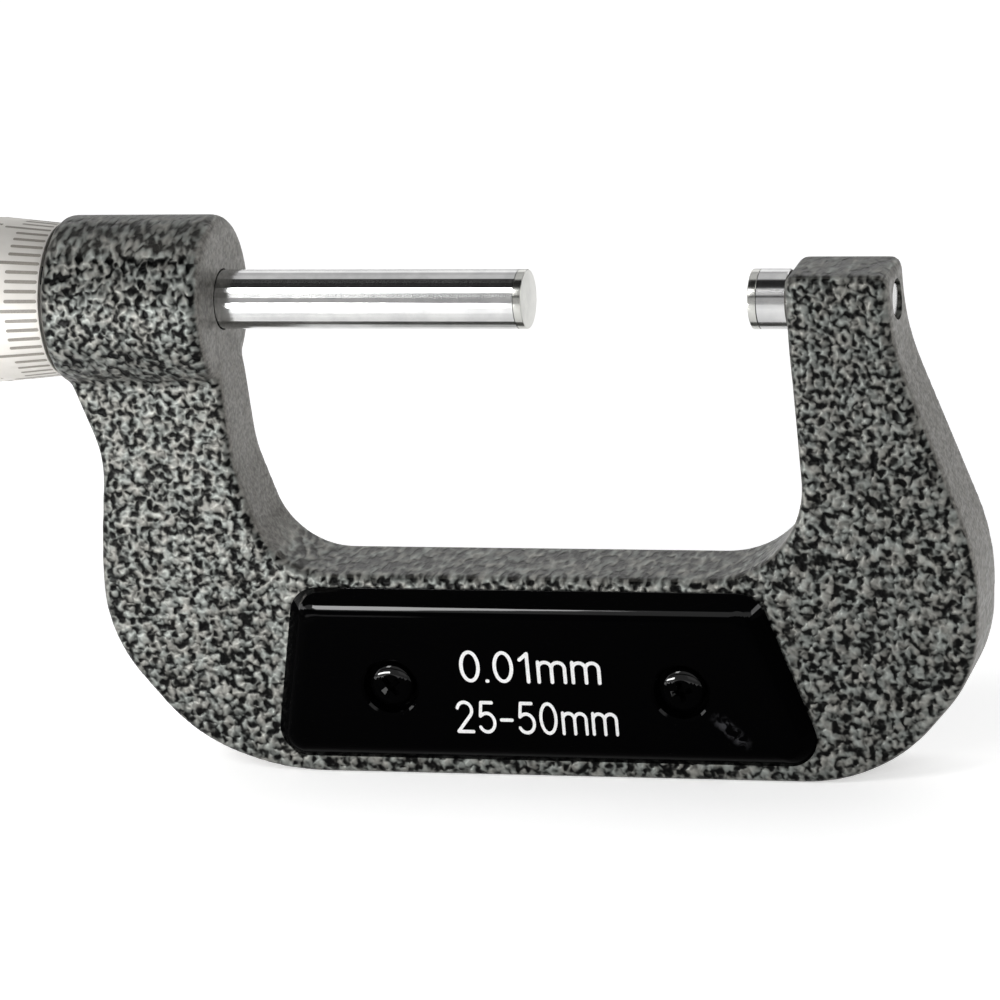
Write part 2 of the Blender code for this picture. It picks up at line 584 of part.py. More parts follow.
def make_spindle(steel, carbide, slide, turn):
    chamfer = TIP_CHAMFER
    turned("spindle_tip", [
        (SPINDLE_FACE_X, 0), (SPINDLE_FACE_X, SPINDLE_RADIUS - chamfer),
        (SPINDLE_FACE_X - chamfer, SPINDLE_RADIUS),
        (SPINDLE_FACE_X - TIP_LENGTH, SPINDLE_RADIUS), (SPINDLE_FACE_X - TIP_LENGTH, 0)], carbide, slide)
    body_x = SPINDLE_FACE_X - TIP_LENGTH - BRAZE_GAP
    undercut = THREAD_RADIUS - THREAD_UNDERCUT_DEPTH
    undercut_end_x = THREAD_START_X + CHAMFER + THREAD_UNDERCUT_WIDTH
    tail_hole = BOLT_SHANK_RADIUS + FIT_GAP
    hole_end_x = FLANGE_SEAT_X + BOLT_SHANK_LENGTH + FIT_GAP
    turned("spindle", [
        (body_x, 0), (body_x, SPINDLE_RADIUS), (undercut_end_x + CHAMFER, SPINDLE_RADIUS),
        (undercut_end_x, undercut), (THREAD_START_X + CHAMFER, undercut),
        (THREAD_START_X, THREAD_RADIUS), (TAPER_START_X, THREAD_RADIUS),
        (SPINDLE_TAIL_X, TAIL_END_RADIUS), (SPINDLE_TAIL_X, tail_hole),
        (hole_end_x, tail_hole), (hole_end_x, 0)], steel, turn)


def make_inner_sleeve(steel):
    """Guide bush and nut in one: slotted at the rear so that the adjusting nut can close it."""
    nut_bore = THREAD_RADIUS + FIT_GAP
    sleeve = turned("inner_sleeve", [
        (INNER_SLEEVE_FRONT_X, GUIDE_RADIUS), (INNER_SLEEVE_FRONT_X, INNER_SLEEVE_RADIUS - CHAMFER),
        (INNER_SLEEVE_FRONT_X - CHAMFER, INNER_SLEEVE_RADIUS),
        (NUT_ZONE_X + NUT_ZONE_SHOULDER, INNER_SLEEVE_RADIUS), (NUT_ZONE_X, NUT_ZONE_OUTER_RADIUS),
        (INNER_SLEEVE_REAR_X, NUT_ZONE_OUTER_RADIUS - NUT_ZONE_TAPER), (INNER_SLEEVE_REAR_X, nut_bore),
        (NUT_ZONE_X, nut_bore), (NUT_ZONE_X + CHAMFER, GUIDE_RADIUS)], steel)
    cam_bore = LOCK_SHAFT_RADIUS + FIT_GAP
    reach = INNER_SLEEVE_RADIUS + OVERCUT
    cuts = [turned("sleeve_cross_cutter", [
        (-reach, 0), (-reach, cam_bore), (reach, cam_bore), (reach, 0),
    ], along="Y", centre=(LOCK_X, 0, LOCK_Z), steps=SMALL_STEPS)]
    for index in range(NUT_SLOT_COUNT):
        slot = box("nut_slot_cutter_%d" % index,
                   (INNER_SLEEVE_REAR_X - OVERCUT, -NUT_SLOT_WIDTH / 2, nut_bore - BLANK_OVERLAP),
                   (NUT_ZONE_X - NUT_ZONE_SHOULDER, NUT_SLOT_WIDTH / 2, NUT_ZONE_OUTER_RADIUS + OVERCUT))
        slot.rotation_euler.x = 2 * pi * index / NUT_SLOT_COUNT + NUT_SLOT_TURN
        cuts.append(slot)
    boolean(sleeve, cuts)
    return sleeve


def make_graduated_sleeve(chrome):
    inner = SLEEVE_RADIUS - SLEEVE_WALL
    sleeve = turned("graduated_sleeve", [
        (SLEEVE_FRONT_X, inner), (SLEEVE_FRONT_X, SLEEVE_RADIUS), (SLEEVE_REAR_X + CHAMFER, SLEEVE_RADIUS),
        (SLEEVE_REAR_X, SLEEVE_RADIUS - CHAMFER), (SLEEVE_REAR_X, inner)], chrome)
    hole = turned("spanner_hole_cutter", [
        (0, 0), (0, SPANNER_HOLE_RADIUS), (SLEEVE_RADIUS + OVERCUT, SPANNER_HOLE_RADIUS),
        (SLEEVE_RADIUS + OVERCUT, 0),
    ], along="Y", centre=(SLEEVE_FRONT_X - SPANNER_HOLE_PLACE, 0, 0), steps=HOLE_STEPS)
    hole.rotation_euler.x = SPANNER_HOLE_ANGLE
    boolean(sleeve, [hole])
    return sleeve


def make_adjusting_nut(steel):
    bore = NUT_ZONE_OUTER_RADIUS + FIT_GAP
    nut = turned("adjusting_nut", [
        (ADJUSTING_NUT_FRONT_X, bore), (ADJUSTING_NUT_FRONT_X, ADJUSTING_NUT_RADIUS - CHAMFER),
        (ADJUSTING_NUT_FRONT_X - CHAMFER, ADJUSTING_NUT_RADIUS),
        (ADJUSTING_NUT_REAR_X, ADJUSTING_NUT_RADIUS), (ADJUSTING_NUT_REAR_X, bore)], steel)
    half_width = ADJUSTING_NUT_NOTCH_WIDTH / 2
    notches = []
    for index in range(ADJUSTING_NUT_NOTCHES):
        notch = box("nut_notch_cutter_%d" % index,
                    (ADJUSTING_NUT_REAR_X - OVERCUT, -half_width, bore - BLANK_OVERLAP),
                    (ADJUSTING_NUT_REAR_X + ADJUSTING_NUT_NOTCH_DEPTH, half_width,
                     ADJUSTING_NUT_RADIUS + OVERCUT))
        notch.rotation_euler.x = 2 * pi * index / ADJUSTING_NUT_NOTCHES
        notches.append(notch)
    boolean(nut, notches)
    return nut


def make_thimble(chrome, turn):
    """Tube with a bevelled edge for the divisions, a grip band between two grooves, and an end wall."""
    taper_hole_front = THREAD_RADIUS + FIT_GAP
    taper_hole_rear = TAIL_END_RADIUS + FIT_GAP
    grip_front_x = THIMBLE_END_X + THIMBLE_REAR_TAPER + THIMBLE_GRIP_LENGTH
    grip_rear_x = THIMBLE_END_X + THIMBLE_REAR_TAPER
    groove = THIMBLE_RADIUS - THIMBLE_GROOVE_DEPTH
    rear_curve = []
    for step in range(THIMBLE_REAR_CURVE_STEPS + 1):
        turn_angle = pi / 2 * step / THIMBLE_REAR_CURVE_STEPS
        rear_curve.append((
            THIMBLE_END_X + (THIMBLE_REAR_TAPER - THIMBLE_REAR_LIP) * (1 - sin(turn_angle)),
            THIMBLE_REAR_RADIUS + (THIMBLE_RADIUS - THIMBLE_REAR_RADIUS) * cos(turn_angle)))
    turned("thimble", [
        (THIMBLE_EDGE_X, THIMBLE_BORE_RADIUS), (THIMBLE_EDGE_X, THIMBLE_EDGE_RADIUS),
        (THIMBLE_EDGE_X - THIMBLE_BEVEL_LENGTH, THIMBLE_RADIUS),
        (grip_front_x + THIMBLE_GROOVE_WIDTH, THIMBLE_RADIUS),
        (grip_front_x + THIMBLE_GROOVE_WIDTH, groove), (grip_front_x, groove),
        (grip_front_x, THIMBLE_RADIUS), (grip_rear_x, THIMBLE_RADIUS),
        *rear_curve,
        (THIMBLE_END_X, taper_hole_rear), (THIMBLE_WALL_X, taper_hole_front),
        (THIMBLE_WALL_X, THIMBLE_BORE_RADIUS)], chrome, turn)


def toothed_ring(name, root_x, back_x, facing, look=None, parent=None, turned_by=0.0):
    """A ring whose end face carries saw teeth. facing is -1 for teeth towards -X, +1 towards +X."""
    builder = bmesh.new()
    pitch = 2 * pi / RATCHET_TEETH
    tip_x = root_x + facing * TOOTH_HEIGHT

    def corner(x, radius, angle):
        return builder.verts.new((x, radius * sin(angle), radius * cos(angle)))

    columns = []
    for tooth in range(RATCHET_TEETH):
        angle = tooth * pitch + turned_by
        columns.append({
            (level, wall): corner(x, radius, angle)
            for level, x in (("back", back_x), ("root", root_x), ("tip", tip_x))
            for wall, radius in (("in", TOOTH_INNER_RADIUS), ("out", TOOTH_OUTER_RADIUS))})
    # Each ring's teeth fill the other's gaps. Closing turns slip over the ramps, opening turns meet the
    # upright flanks.
    rises_to_next = facing > 0
    for tooth in range(RATCHET_TEETH):
        here = columns[tooth]
        after = columns[(tooth + 1) % RATCHET_TEETH]
        low, high = (here, after) if rises_to_next else (after, here)
        builder.faces.new((low["root", "in"], low["root", "out"], high["tip", "out"], high["tip", "in"]))
        builder.faces.new((
            here["back", "in"], here["back", "out"], after["back", "out"], after["back", "in"]))
        builder.faces.new((here["root", "in"], here["root", "out"], here["tip", "out"], here["tip", "in"]))
        for wall in ("in", "out"):
            builder.faces.new((
                low["back", wall], high["back", wall], high["root", wall], high["tip", wall],
                low["root", wall]))
    return finish_mesh(name, builder, look, parent)


def make_ratchet_bolt(steel, turn):
    """Clamps the thimble on the spindle's taper. Its flange has teeth, its shaft carries the knob."""
    screw_hole = KNOB_SCREW_SHANK_RADIUS + FIT_GAP
    shaft_end_x = KNOB_SEAT_X + FIT_GAP
    screw_hole_end_x = KNOB_SCREW_SEAT_X + KNOB_SCREW_SHANK_LENGTH + FIT_GAP
    shank_end_x = FLANGE_SEAT_X + BOLT_SHANK_LENGTH
    flange_end_x = BOLT_TOOTH_ROOT_X + TOOTH_RING_BACKING - BLANK_OVERLAP
    bolt = turned("ratchet_bolt", [
        (shank_end_x, 0), (shank_end_x, BOLT_SHANK_RADIUS), (FLANGE_SEAT_X, BOLT_SHANK_RADIUS),
        (FLANGE_SEAT_X, TOOTH_OUTER_RADIUS), (flange_end_x, TOOTH_OUTER_RADIUS),
        (flange_end_x, BOLT_SHAFT_RADIUS), (shaft_end_x, BOLT_SHAFT_RADIUS),
        (shaft_end_x, screw_hole), (screw_hole_end_x, screw_hole), (screw_hole_end_x, 0),
    ], steel, turn, steps=2 * RATCHET_TEETH)
    teeth = toothed_ring("bolt_teeth_blank", BOLT_TOOTH_ROOT_X, BOLT_TOOTH_ROOT_X + TOOTH_RING_BACKING, -1)
    boolean(bolt, [teeth], "UNION")
    return bolt


def lug_blocks(name, inner, outer, width, low_x, high_x):
    """Radial blocks around the axis, as one guide mesh of separate blocks."""
    builder = bmesh.new()
    for index in range(DISC_LUGS):
        made = bmesh.ops.create_cube(builder, size=1.0)["verts"]
        bmesh.ops.scale(builder, verts=made, vec=(high_x - low_x, width, outer - inner))
        bmesh.ops.translate(builder, verts=made, vec=((high_x + low_x) / 2, 0, (outer + inner) / 2))
        quarter = Matrix.Rotation(2 * pi * index / DISC_LUGS, 3, "X")
        bmesh.ops.rotate(builder, verts=made, cent=(0, 0, 0), matrix=quarter)
    return finish_mesh(name, builder)


def make_ratchet_disc(steel, lift):
    disc = toothed_ring(
        "ratchet_disc", DISC_TOOTH_ROOT_X, DISC_BACK_X, 1, steel, lift, turned_by=-TOOTH_FLANK_PLAY)
    lugs = lug_blocks(
        "disc_lug_blank", TOOTH_OUTER_RADIUS - BLANK_OVERLAP, TOOTH_OUTER_RADIUS + DISC_LUG_LENGTH,
        DISC_LUG_WIDTH, DISC_BACK_X, DISC_TOOTH_ROOT_X - CHAMFER)
    boolean(disc, [lugs], "UNION")
    return disc


def make_ratchet_spring(steel, knob):
    """A round-wire helix whose end turns lie close, as on a compression spring."""
    builder = bmesh.new()
    steps = int(SPRING_TURNS * SPRING_STEPS_PER_TURN)
    close_pitch = 2 * SPRING_WIRE_RADIUS + SPRING_END_TURN_GAP
    wire_span = SPRING_LENGTH - 2 * SPRING_WIRE_RADIUS
    open_pitch = (wire_span - 2 * close_pitch) / (SPRING_TURNS - 2)

    def rise(turns):
        if turns < 1:
            return turns * close_pitch
        if turns > SPRING_TURNS - 1:
            return wire_span - (SPRING_TURNS - turns) * close_pitch
        return close_pitch + (turns - 1) * open_pitch

    rings = []
    for step in range(steps + 1):
        angle = 2 * pi * SPRING_TURNS * step / steps
        x = SPRING_FRONT_X - SPRING_WIRE_RADIUS - rise(SPRING_TURNS * step / steps)
        ring = []
        for side in range(SPRING_SIDES):
            around = 2 * pi * side / SPRING_SIDES
            radius = SPRING_RADIUS + SPRING_WIRE_RADIUS * cos(around)
            ring.append(builder.verts.new((
                x + SPRING_WIRE_RADIUS * sin(around), radius * cos(angle), radius * sin(angle))))
        rings.append(ring)
    for ring, after in zip(rings, rings[1:]):
        for side in range(SPRING_SIDES):
            beside = (side + 1) % SPRING_SIDES
            builder.faces.new((ring[side], ring[beside], after[beside], after[side]))
    builder.faces.new(rings[0])
    builder.faces.new(rings[-1])
    return finish_mesh("ratchet_spring", builder, steel, knob)


def make_ratchet_knob(chrome, knob):
    """The cap over the clutch, with slots for the disc's lugs and a recess for washer and screw."""
    bore = KNOB_BORE_RADIUS
    shaft_hole = BOLT_SHAFT_RADIUS + FIT_GAP
    collar_x = KNOB_SKIRT_X - KNOB_COLLAR_LENGTH
    groove = KNOB_RADIUS - KNOB_GROOVE_DEPTH
    cap = turned("ratchet_knob", [
        (KNOB_SKIRT_X, bore), (KNOB_SKIRT_X, groove), (collar_x, groove),
        (collar_x - CHAMFER, KNOB_RADIUS), (KNOB_END_X + KNOB_CHAMFER, KNOB_RADIUS),
        (KNOB_END_X, KNOB_RADIUS - KNOB_CHAMFER), (KNOB_END_X, KNOB_RECESS_RADIUS),
        (KNOB_SEAT_X, KNOB_RECESS_RADIUS), (KNOB_SEAT_X, shaft_hole),
        (KNOB_WALL_X, shaft_hole), (KNOB_WALL_X, bore)], chrome, knob)
    slots = lug_blocks(
        "knob_slot_cutter", bore - BLANK_OVERLAP, TOOTH_OUTER_RADIUS + DISC_LUG_LENGTH + FIT_GAP,
        DISC_LUG_WIDTH + 2 * FIT_GAP, DISC_BACK_X - TOOTH_HEIGHT - FIT_GAP, KNOB_SKIRT_X + OVERCUT)
    boolean(cap, [slots])
    return cap


def make_knob_fastening(steel, knob):
    hole = KNOB_SCREW_SHANK_RADIUS + FIT_GAP
    turned("knob_washer", [
        (WASHER_FRONT_X, hole), (WASHER_FRONT_X, WASHER_RADIUS),
        (WASHER_REAR_X, WASHER_RADIUS), (WASHER_REAR_X, hole)], steel, knob, steps=SMALL_STEPS)
    seat = KNOB_SCREW_SEAT_X
    top = seat - KNOB_SCREW_HEAD_HEIGHT
    screw = turned("knob_screw", [
        (seat + KNOB_SCREW_SHANK_LENGTH, 0), (seat + KNOB_SCREW_SHANK_LENGTH, KNOB_SCREW_SHANK_RADIUS),
        (seat, KNOB_SCREW_SHANK_RADIUS), (seat, KNOB_SCREW_HEAD_RADIUS),
        (top + CHAMFER, KNOB_SCREW_HEAD_RADIUS), (top, KNOB_SCREW_HEAD_RADIUS - CHAMFER), (top, 0),
    ], steel, knob, steps=SMALL_STEPS)
    reach = KNOB_SCREW_HEAD_RADIUS + OVERCUT
    half_width = SCREW_SLOT_WIDTH / 2
    boolean(screw, [box("knob_screw_slot_cutter", (top - OVERCUT, -reach, -half_width),
                        (top + SCREW_SLOT_DEPTH, reach, half_width))])


def make_lock_shaft(steel, lock):
    """Cross shaft with an eccentric middle under the spindle and a square end for the lever."""
    half_cam = LOCK_CAM_WIDTH / 2
    front_end = -half_cam - LOCK_FRONT_JOURNAL
    journal_end = LOCK_BOSS_FACE + SEAT_GAP
    square_end = LEVER_OUTER_Y - LOCK_SQUARE_SETBACK
    hole = LOCK_SCREW_SHANK_RADIUS + FIT_GAP
    hole_end = square_end - LOCK_SCREW_SHANK_LENGTH - FIT_GAP
    core = LOCK_CAM_RADIUS - LOCK_CAM_OFFSET - LOCK_CORE_INSET
    centre = (LOCK_X, 0, LOCK_Z)
    shaft = turned("lock_shaft", [
        (front_end, 0), (front_end, LOCK_SHAFT_RADIUS), (-half_cam, LOCK_SHAFT_RADIUS),
        (-half_cam, core), (half_cam, core), (half_cam, LOCK_SHAFT_RADIUS),
        (journal_end, LOCK_SHAFT_RADIUS), (journal_end, 0),
    ], steel, lock, along="Y", centre=centre, steps=SMALL_STEPS)
    cam_centre = (
        LOCK_X - LOCK_CAM_OFFSET * cos(LOCK_CAM_REST_ANGLE), 0,
        LOCK_Z + LOCK_CAM_OFFSET * sin(LOCK_CAM_REST_ANGLE))
    cam = turned("lock_cam_blank", [
        (-half_cam - BLANK_OVERLAP, 0), (-half_cam - BLANK_OVERLAP, LOCK_CAM_RADIUS),
        (half_cam + BLANK_OVERLAP, LOCK_CAM_RADIUS), (half_cam + BLANK_OVERLAP, 0),
    ], along="Y", centre=cam_centre, steps=SMALL_STEPS)
    half_square = LOCK_SQUARE / 2
    square = box("lock_square_blank", (-half_square, journal_end - BLANK_OVERLAP, -half_square),
                 (half_square, square_end, half_square))
    square.location = (LOCK_X, 0, LOCK_Z)
    square.rotation_euler.y = LEVER_REST_ANGLE
    boolean(shaft, [cam, square], "UNION")
    boolean(shaft, [turned("lock_screw_hole_cutter", [
        (hole_end, 0), (hole_end, hole), (square_end + OVERCUT, hole), (square_end + OVERCUT, 0),
    ], along="Y", centre=centre, steps=HOLE_STEPS)])
    return shaft


def make_lock_lever(chrome, lock):
    """A flat lever: round hub, straight sides, round end. It hangs from the hub at its rest angle."""
    lean = acos((LEVER_HUB_RADIUS - LEVER_END_RADIUS) / LEVER_LENGTH)
    outline = []
    for centre, radius, start, sweep in (
            (LEVER_LENGTH, LEVER_END_RADIUS, -lean, 2 * lean),
            (0, LEVER_HUB_RADIUS, lean, 2 * pi - 2 * lean)):
        steps = ceil(sweep / (2 * pi) * ARC_STEPS_PER_TURN)
        for step in range(steps + 1):
            angle = start + sweep * step / steps
            along = centre + radius * cos(angle)
            across = radius * sin(angle)
            outline.append((
                LOCK_X + along * cos(LEVER_REST_ANGLE) - across * sin(LEVER_REST_ANGLE),
                LOCK_Z + along * sin(LEVER_REST_ANGLE) + across * cos(LEVER_REST_ANGLE)))
    builder = extruded_outline(outline, LEVER_INNER_Y, LEVER_OUTER_Y)
    bmesh.ops.bevel(
        builder, geom=rim_edges(builder, lambda y: True), offset=LEVER_EDGE_RADIUS,
        offset_type="OFFSET", segments=2, profile=0.5, affect="EDGES")
    lever = finish_mesh("lock_lever", builder, chrome, lock)
    half = LOCK_SQUARE / 2 + FIT_GAP
    hole = box("lever_square_cutter", (-half, LEVER_INNER_Y - OVERCUT, -half),
               (half, LEVER_OUTER_Y + OVERCUT, half))
    hole.location = (LOCK_X, 0, LOCK_Z)
    hole.rotation_euler.y = LEVER_REST_ANGLE
    boolean(lever, [hole])
    return lever


def make_lock_screw(steel, lock):
    seat = LEVER_OUTER_Y + SEAT_GAP
    top = seat + LOCK_SCREW_HEAD_HEIGHT
    shank_end = LEVER_OUTER_Y - LOCK_SQUARE_SETBACK - LOCK_SCREW_SHANK_LENGTH
    screw = turned("lock_screw", [
        (shank_end, 0), (shank_end, LOCK_SCREW_SHANK_RADIUS), (seat, LOCK_SCREW_SHANK_RADIUS),
        (seat, LOCK_SCREW_HEAD_RADIUS), (top - CHAMFER, LOCK_SCREW_HEAD_RADIUS),
        (top, LOCK_SCREW_HEAD_RADIUS - CHAMFER), (top, 0),
    ], steel, lock, along="Y", centre=(LOCK_X, 0, LOCK_Z), steps=SMALL_STEPS)
    reach = LOCK_SCREW_HEAD_RADIUS + OVERCUT
    half_width = SCREW_SLOT_WIDTH / 2
    boolean(screw, [box("lock_screw_slot_cutter",
                        (LOCK_X - reach, top - SCREW_SLOT_DEPTH, LOCK_Z - half_width),
                        (LOCK_X + reach, top + OVERCUT, LOCK_Z + half_width))])


def build_model():
    clear_scene()
    paint = material("hammertone_paint", (0.22, 0.23, 0.22), 0.45, 0.6)
    plastic = material("black_plastic", (0.01, 0.01, 0.01), 0.12, 0.0)
    steel = material("ground_steel", (0.62, 0.62, 0.62), 0.18, 1.0)
    carbide = material("carbide", (0.40, 0.40, 0.41), 0.25, 1.0)
    chrome = material("satin_chrome", (0.72, 0.72, 0.70), 0.32, 1.0)
    black_steel = material("black_oxide_steel", (0.03, 0.03, 0.03), 0.3, 0.9)
    spring_steel = material("spring_steel", (0.35, 0.35, 0.36), 0.3, 1.0)

    slide = joint_empty("spindle_slide_axis", (SPINDLE_FACE_X, 0, 0))
    turn = joint_empty("thimble_turn_axis", (THIMBLE_EDGE_X, 0, 0), slide)
    knob = joint_empty("ratchet_turn_axis", (KNOB_SKIRT_X, 0, 0), turn)
    lift = joint_empty("ratchet_disc_lift_axis", (DISC_BACK_X, 0, 0), knob)
    lock = joint_empty("lock_turn_axis", (LOCK_X, 0, LOCK_Z))

    make_frame(paint)
    make_anvil(steel, carbide)
    for side_name, side in (("front", FRONT), ("rear", REAR)):
        make_cover_plate("cover_plate_" + side_name, side, plastic)
        for place, x in plate_screw_places():
            make_plate_screw("plate_screw_%s_%s" % (side_name, place), side, x, black_steel)
    make_inner_sleeve(steel)
    make_graduated_sleeve(chrome)
    make_adjusting_nut(steel)
    make_spindle(steel, carbide, slide, turn)
    make_thimble(chrome, turn)
    make_ratchet_bolt(steel, turn)
    make_ratchet_disc(steel, lift)
    make_ratchet_spring(spring_steel, knob)
    make_ratchet_knob(chrome, knob)
    make_knob_fastening(black_steel, knob)
    make_lock_shaft(steel, lock)
    make_lock_lever(chrome, lock)
    make_lock_screw(black_steel, lock)


build_model()
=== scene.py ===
# Looks of the outside micrometer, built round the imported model.
# Lengths are in metres and places are in the model's own frame: the spindle's axis is X, the written face of
# the front plate looks towards -Y, and +Z is up.

from math import acos, atan2, ceil, cos, pi, radians, sin, tan

import bmesh
import bpy
from mathutils import Matrix, Vector


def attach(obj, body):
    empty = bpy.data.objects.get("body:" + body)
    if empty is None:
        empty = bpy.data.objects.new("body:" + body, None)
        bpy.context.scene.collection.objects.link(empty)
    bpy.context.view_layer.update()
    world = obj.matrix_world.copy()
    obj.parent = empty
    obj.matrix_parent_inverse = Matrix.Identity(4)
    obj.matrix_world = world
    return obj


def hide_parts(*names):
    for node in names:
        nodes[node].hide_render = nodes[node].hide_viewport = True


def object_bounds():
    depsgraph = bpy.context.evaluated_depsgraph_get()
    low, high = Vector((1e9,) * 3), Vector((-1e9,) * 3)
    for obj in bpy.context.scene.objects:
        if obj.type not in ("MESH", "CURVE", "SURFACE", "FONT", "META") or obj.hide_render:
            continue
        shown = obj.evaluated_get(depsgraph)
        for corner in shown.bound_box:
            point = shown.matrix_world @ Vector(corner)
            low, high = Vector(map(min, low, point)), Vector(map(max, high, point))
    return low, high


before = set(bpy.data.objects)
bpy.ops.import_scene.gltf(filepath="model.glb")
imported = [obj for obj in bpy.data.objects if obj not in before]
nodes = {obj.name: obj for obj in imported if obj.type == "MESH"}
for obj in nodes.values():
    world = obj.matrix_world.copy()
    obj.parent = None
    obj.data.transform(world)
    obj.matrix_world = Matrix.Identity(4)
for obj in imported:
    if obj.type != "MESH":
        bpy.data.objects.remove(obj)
cad_low, cad_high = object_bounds()

MM = 0.001

# Camera
VIEW_AZIMUTH = radians(17.5)
VIEW_ELEVATION = radians(19.2)
VIEW_ROLL = radians(5.34)
VIEW_DISTANCE = 0.624
VIEW_TARGET = Vector((-0.027772, -0.008145, -0.020116))
LENS = 208.4

# Casting
TOP_HALF_THICKNESS = 4.2 * MM
BEAM_HALF_THICKNESS = 5.3 * MM
EDGE_RADIUS = 0.9 * MM
LEFT_BULGE = 16.4 * MM
RIGHT_BULGE = 8.0 * MM
THROAT_DEPTH = 30.3 * MM
FRAME_DEPTH = 53.7 * MM
ARM_FACE_X = 4.3 * MM
ARM_OUTER_X = 15.6 * MM
ARM_TOP_HEIGHT = 3.7 * MM
TAPER_FOOT_Z = -32.1 * MM
HEAD_FACE_X = -59.8 * MM
HEAD_END_X = -78.0 * MM
HEAD_RADIUS = 9.3 * MM
HEAD_RIM_RADIUS = 1.2 * MM
HEAD_BORE_RADIUS = 6.6 * MM
HEAD_BORE_END_X = -61.3 * MM
GUIDE_RADIUS = 3.38 * MM
HEAD_TO_THROAT_WALL = 0.05 * MM
NECK_TOP_DROP = 3.0 * MM
NECK_END_INSET = 0.8 * MM
ANVIL_BORE_RADIUS = 2.2 * MM
RIGHT_EDGE = (
    (0.0, 0.525, 0.39),
    (0.9 * MM, 0.760, 0.42),
    (9.1 * MM, 0.935, 0.48),
    (16.8 * MM, 1.0, 0.45))
LEFT_EDGE = (
    (19.5 * MM, 1.0, 0.40),
    (9.4 * MM, 0.932, 0.52),
    (0.1 * MM, 0.706, 0.60),
    (0.5 * MM, 0.521, 0.28),
    (1.9 * MM, 0.317, 0.33))
THROAT_EDGE = (
    (0.7 * MM, 0.593, 0.13),
    (4.2 * MM, 1.0, 0.51))
ARM_KNEE_DEPTH = 0.13
ARM_OUTER_KNEE_FILLET = 0.58
ARM_FOOT_INSET = 0.7 * MM
ARM_FOOT_FILLET = 0.43
ARM_INNER_KNEE_FILLET = 0.04
ARM_CORNER_FILLET = 0.14
LOCK_X = -68.5 * MM
LOCK_Z = -5.2 * MM
LOCK_BOSS_RADIUS = 4.4 * MM
LOCK_BOSS_FACE = 7.6 * MM
LOCK_BORE_RADIUS = 2.2 * MM
LOCK_BORE_END_Y = -3.7 * MM
SPOTFACE_RADIUS = 5.0 * MM
CASTING_VOXEL = 0.4 * MM
CASTING_SMOOTHING = 4
OVERCUT = 5 * MM

# Plates and their screws
PLATE_SEAT_Y = 5.4 * MM
PLATE_FACE_Y = 7.8 * MM
PLATE_TOP_Z = -31.5 * MM
PLATE_BOTTOM_Z = -51.5 * MM
PLATE_TOP_X = (-53.4 * MM, -0.7 * MM)
PLATE_BOTTOM_X = (-57.2 * MM, 6.0 * MM)
PLATE_CORNER_RADIUS = 3.3 * MM
PLATE_STEP = 0.21 * MM
PLATE_SLOPE_ANGLE = radians(47)
PLATE_SLOPE_INSET = 1.30 * MM
PLATE_ROUNDING = 2.3 * MM
PLATE_INNER_RADIUS = 2.0 * MM
SCREW_X = (-42.5 * MM, -9.5 * MM)
SCREW_Z = -42.3 * MM
POCKET_RADIUS = 3.1 * MM
POCKET_DEPTH = 1.7 * MM
POCKET_LIP = 0.25 * MM
SCREW_HEAD_RADIUS = 2.5 * MM
SCREW_TOP_Y = 7.55 * MM
PLATE_POLISH_FROM = 0.42
SCREW_POLISH_FROM = 0.15

# Spindle, anvil, thimble
ROD_RADIUS = 3.25 * MM
SPINDLE_FACE_X = -25 * MM
TIP_LENGTH = 0.9 * MM
THIMBLE_EDGE_X = -78.3 * MM
THIMBLE_RADIUS = 9.1 * MM
THIMBLE_EDGE_RADIUS = 8.4 * MM
BEVEL_LENGTH = 6.8 * MM
SLEEVE_RADIUS = 7.7 * MM
DIVISIONS = 50
DATUM_ANGLE = radians(45.0)

# Scale lines and numbers
DIVISION_WIDTH = 0.40 * MM
DIVISION_NUMBER_HEIGHT = 2.1 * MM
DIVISION_NUMBER_STROKE = 0.26 * MM
SCALE_WIDTH = 0.13 * MM
SCALE_NUMBER_HEIGHT = 1.9 * MM
SCALE_NUMBER_STROKE = 0.22 * MM

# Thimble's grip and rear end
GRIP_FRONT_X = -103.3 * MM
GRIP_REAR_X = -122.3 * MM
GROOVE_WIDTH = 0.9 * MM
GROOVE_DEPTH = 0.35 * MM
KNURL_COUNT = 72
KNURL_DEPTH = 0.22 * MM
THIMBLE_END_X = -128.3 * MM
THIMBLE_REAR_RADIUS = 6.9 * MM
THIMBLE_REAR_LIP = 0.5 * MM

# How finely round things are divided, and the sharpest crease that is shaded smooth
TURN_STEPS = 128
CORNER_STEPS = 160
FACE_ANGLE = radians(30)
RING_MOTTLE = 0.12


